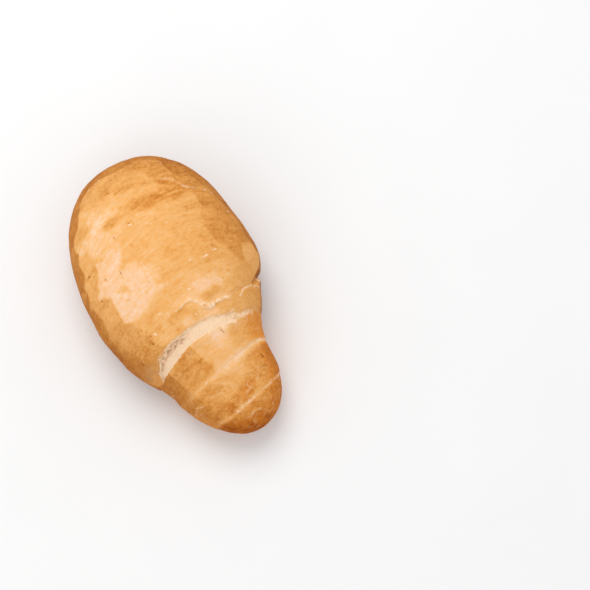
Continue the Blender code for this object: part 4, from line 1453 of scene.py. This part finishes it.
crumb_y = section_point(crumb_x, crumb_turn * math.tau)[0]
crumb_px, crumb_py = (crumb_x + to_origin[0]) / MM, (crumb_y + to_origin[1]) / MM
on_band = np.stack((crumb_x, way_along(crumb_turn) * WEB_STRETCH, np.zeros(len(crumb_x))), axis=-1)
web = 1.0 - 2.0 * np.abs(smooth_noise(on_band, WEB_SIZE, seed=21, octaves=3))
web_share = fall(from_lip, *WEB_FROM_LIP) * ramp(crumb_turn, *WEB_FROM_TURN)
web_share = web_share * fall(crumb_turn, *WEB_TO_TURN)
soft_crease = smooth_noise(on_band, CREASE_SIZE, seed=23, octaves=2)
stroke_x = crumb_px + STROKE_SHIFT + STROKE_WAVER * smooth_noise(on_band, STROKE_WAVER_SIZE, seed=25)
strokes = any_line(stroke_x, crumb_py, STROKES, STROKE_HALF_WIDTH)
print("web points:", int((web_share > 0.5).sum()), "stroke points:", int((strokes > 0.5).sum()))

# %% Press the crumb into the tear
CRUMB_LIFT = ((0.0, -0.60), (0.12, -0.78), (0.30, -0.72), (0.6, -0.30), (1.0, 0.0))
CRUMB_LEVEL = -0.00008
BORDER_RISES, BORDER_FALLS = (0.0, 0.06), (0.95, 1.0)

crumb_relief = along(crumb_turn, TEAR_DEPTH) * along(from_lip, CRUMB_LIFT) + CRUMB_LEVEL
crumb_relief = crumb_relief + (web - WEB_MIDDLE) * WEB_HEIGHT * (WEB_LEAST + (1.0 - WEB_LEAST) * web_share)
crumb_relief = crumb_relief + soft_crease * CREASE_HEIGHT - strokes * STROKE_DEPTH
border = ramp(from_lip, *BORDER_RISES) * fall(from_lip, *BORDER_FALLS) * closing
sunk = np.where(is_top, 1.0 - border, 1.0)
crumb_relief = np.where(is_top, crumb_relief, 0.0) * border - CRUMB_THICKNESS * sunk
crumb_lump = lump_relief(crumb_x, crumb_turn) + rolled_edge_relief(crumb_x, crumb_turn)
write_points(crumb_mesh, stand_out(crumb_x, crumb_turn, crumb_relief + crumb_lump) + to_origin)
print("the crumb lies", round(-float(crumb_relief[is_top].min()) / MM, 2), "mm deep at most")

# %% Painted shade in the slits, shadow and fade of the crumb
SLIT_BELOW_WEB, SLIT_REACH, WEB_SLIT, STROKE_SLIT = 0.50, 0.9, 0.35, 0.50
SHADOW_FROM_LIP, SHADOW_TURNS = (0.05, 0.55), (0.27, 0.33)
LOW_SHADOW, LOW_SHADOW_RISE, LOW_SHADOW_TURNS = 0.3, 0.4, (0.385, 0.41)
FADE_TURNS = (0.235, 0.30)

# The slits between the webs and the pressed strokes are painted dark: painted shade in their hollows.
web_slit = ramp(SLIT_BELOW_WEB - web, 0.0, SLIT_REACH) * web_share
under_lip = fall(from_lip, *SHADOW_FROM_LIP) * ramp(crumb_turn, *SHADOW_TURNS)
low_shadow = LOW_SHADOW + LOW_SHADOW_RISE * ramp(crumb_turn, *LOW_SHADOW_TURNS)
write_fields(crumb_mesh, {
    "slit_shade": np.maximum(WEB_SLIT * web_slit, STROKE_SLIT * strokes),
    "shadow": np.maximum(under_lip, low_shadow),
    "fade": fall(crumb_turn, *FADE_TURNS),
})
write_shadow_hatching(crumb_mesh, crumb_x, crumb_turn)

# %% The crumb material
CRUMB_GRAIN, CRUMB_SPOTS, CRUMB_TONES = 0.40, (0.0022, 3.0), ((246, 208, 171), (252, 221, 187))
CRUMB_FIBRES, CRUMB_FIBRE_HALF_WIDTH = (0.45, 0.0014, 2.0, 0.5, 0.6), 0.035
CRUMB_SHADOW, CRUMB_SHADOW_TINT = 0.45, (0.80, 0.74, 0.66)
CRUMB_RAGGED, CRUMB_FINE = (0.0009, 2.0), (0.22, 0.0006, 2.0, 0.5)
CRUMB_ROUGHNESS, CRUMB_BUMP = (0.85, 0.70), 0.00015


def crumb_material():
    material, tree, shader, places = new_material("torn_crumb", roughness=0.85, specular=0.10)
    shade, flecks, grain = dough_grain(tree, places, CRUMB_GRAIN)
    across = bent_across(tree, places)
    colour = mix_colours(tree, spots(tree, places, *CRUMB_SPOTS), *(seen(*tone) for tone in CRUMB_TONES))
    for name in ("fade", "low end"):
        colour = lay_over(tree, colour, name, field(tree, name))
    # Thin darker creases: painted shade in the crumb's small creases.
    creases = threads(tree, drawn_out(tree, across, *CRUMB_FIBRES), CRUMB_FIBRE_HALF_WIDTH)
    colour = lay_over(tree, colour, "creases", creases)
    colour = tinted(tree, times(tree, field(tree, "shadow"), CRUMB_SHADOW), colour, CRUMB_SHADOW_TINT)
    patterns = {"ragged": spots(tree, places, *CRUMB_RAGGED), "fine": drawn_out(tree, across, *CRUMB_FINE)}
    colour = shadow_hatched_over(tree, lay_over(tree, colour, "slit_shade", ragged_mask(tree, "slit_shade", patterns)))
    feed(tree, shader.inputs["Base Color"], shaded(tree, colour, shade))
    feed(tree, shader.inputs["Roughness"], blended(tree, flecks, *CRUMB_ROUGHNESS))
    bump(tree, shader, grain, CRUMB_BUMP)
    return material


finish_piece(crumb_mesh, crumb_material())

# %% [markdown]
# ## Floor and light
#
# The roll lies on a plain pale sheet. A pale world lights it from all round, and a
# wide soft lamp above the blunt end adds the gentle fall of light towards the tip.

# %% Floor
FLOOR_REACH, FLOOR_CELLS, FLOOR_SPOTS, FLOOR_GREYS = 6.0, 4, 0.05, (0.93, 0.96)


def floor_material():
    material, tree, shader, places = new_material("pale_sheet", roughness=0.9, specular=0.2)
    greys = [(grey, grey, grey, 1.0) for grey in FLOOR_GREYS]
    feed(tree, shader.inputs["Base Color"], mix_colours(tree, spots(tree, places, FLOOR_SPOTS), *greys))
    return material


floor_bm = bmesh.new()
bmesh.ops.create_grid(floor_bm, x_segments=FLOOR_CELLS, y_segments=FLOOR_CELLS, size=FLOOR_REACH)
floor_mesh = bpy.data.meshes.new("floor")
floor_bm.to_mesh(floor_mesh)
floor_bm.free()
floor_mesh.materials.append(floor_material())
floor = bpy.data.objects.new("floor", floor_mesh)
bpy.context.scene.collection.objects.link(floor)

# %% Light
WORLD_LIGHT = 0.68
LAMPS = (
    ("key", (-0.38, 0.08, 0.78), 0.60, 2.75),
    ("fill", (0.45, -0.55, 0.55), 0.70, 1.0),
)

world = bpy.data.worlds.new("studio")
bpy.context.scene.world = world
world.use_nodes = True
world.node_tree.nodes["Background"].inputs["Color"].default_value = (1.0, 1.0, 1.0, 1.0)
world.node_tree.nodes["Background"].inputs["Strength"].default_value = WORLD_LIGHT
for name, place, size, power in LAMPS:
    lamp_data = bpy.data.lights.new(name, "AREA")
    lamp_data.shape = "DISK"
    lamp_data.size, lamp_data.energy = size, power
    lamp = bpy.data.objects.new(name, lamp_data)
    lamp.location = place
    lamp.rotation_mode = "QUATERNION"
    lamp.rotation_quaternion = Vector(place).to_track_quat("Z", "Y")
    bpy.context.scene.collection.objects.link(lamp)

bpy.context.scene.view_settings.view_transform = "Standard"
bpy.context.scene.view_settings.look = "None"
print("lamps:", *(name for name, _, _, _ in LAMPS))

# %% Finish
bpy.context.view_layer.update()
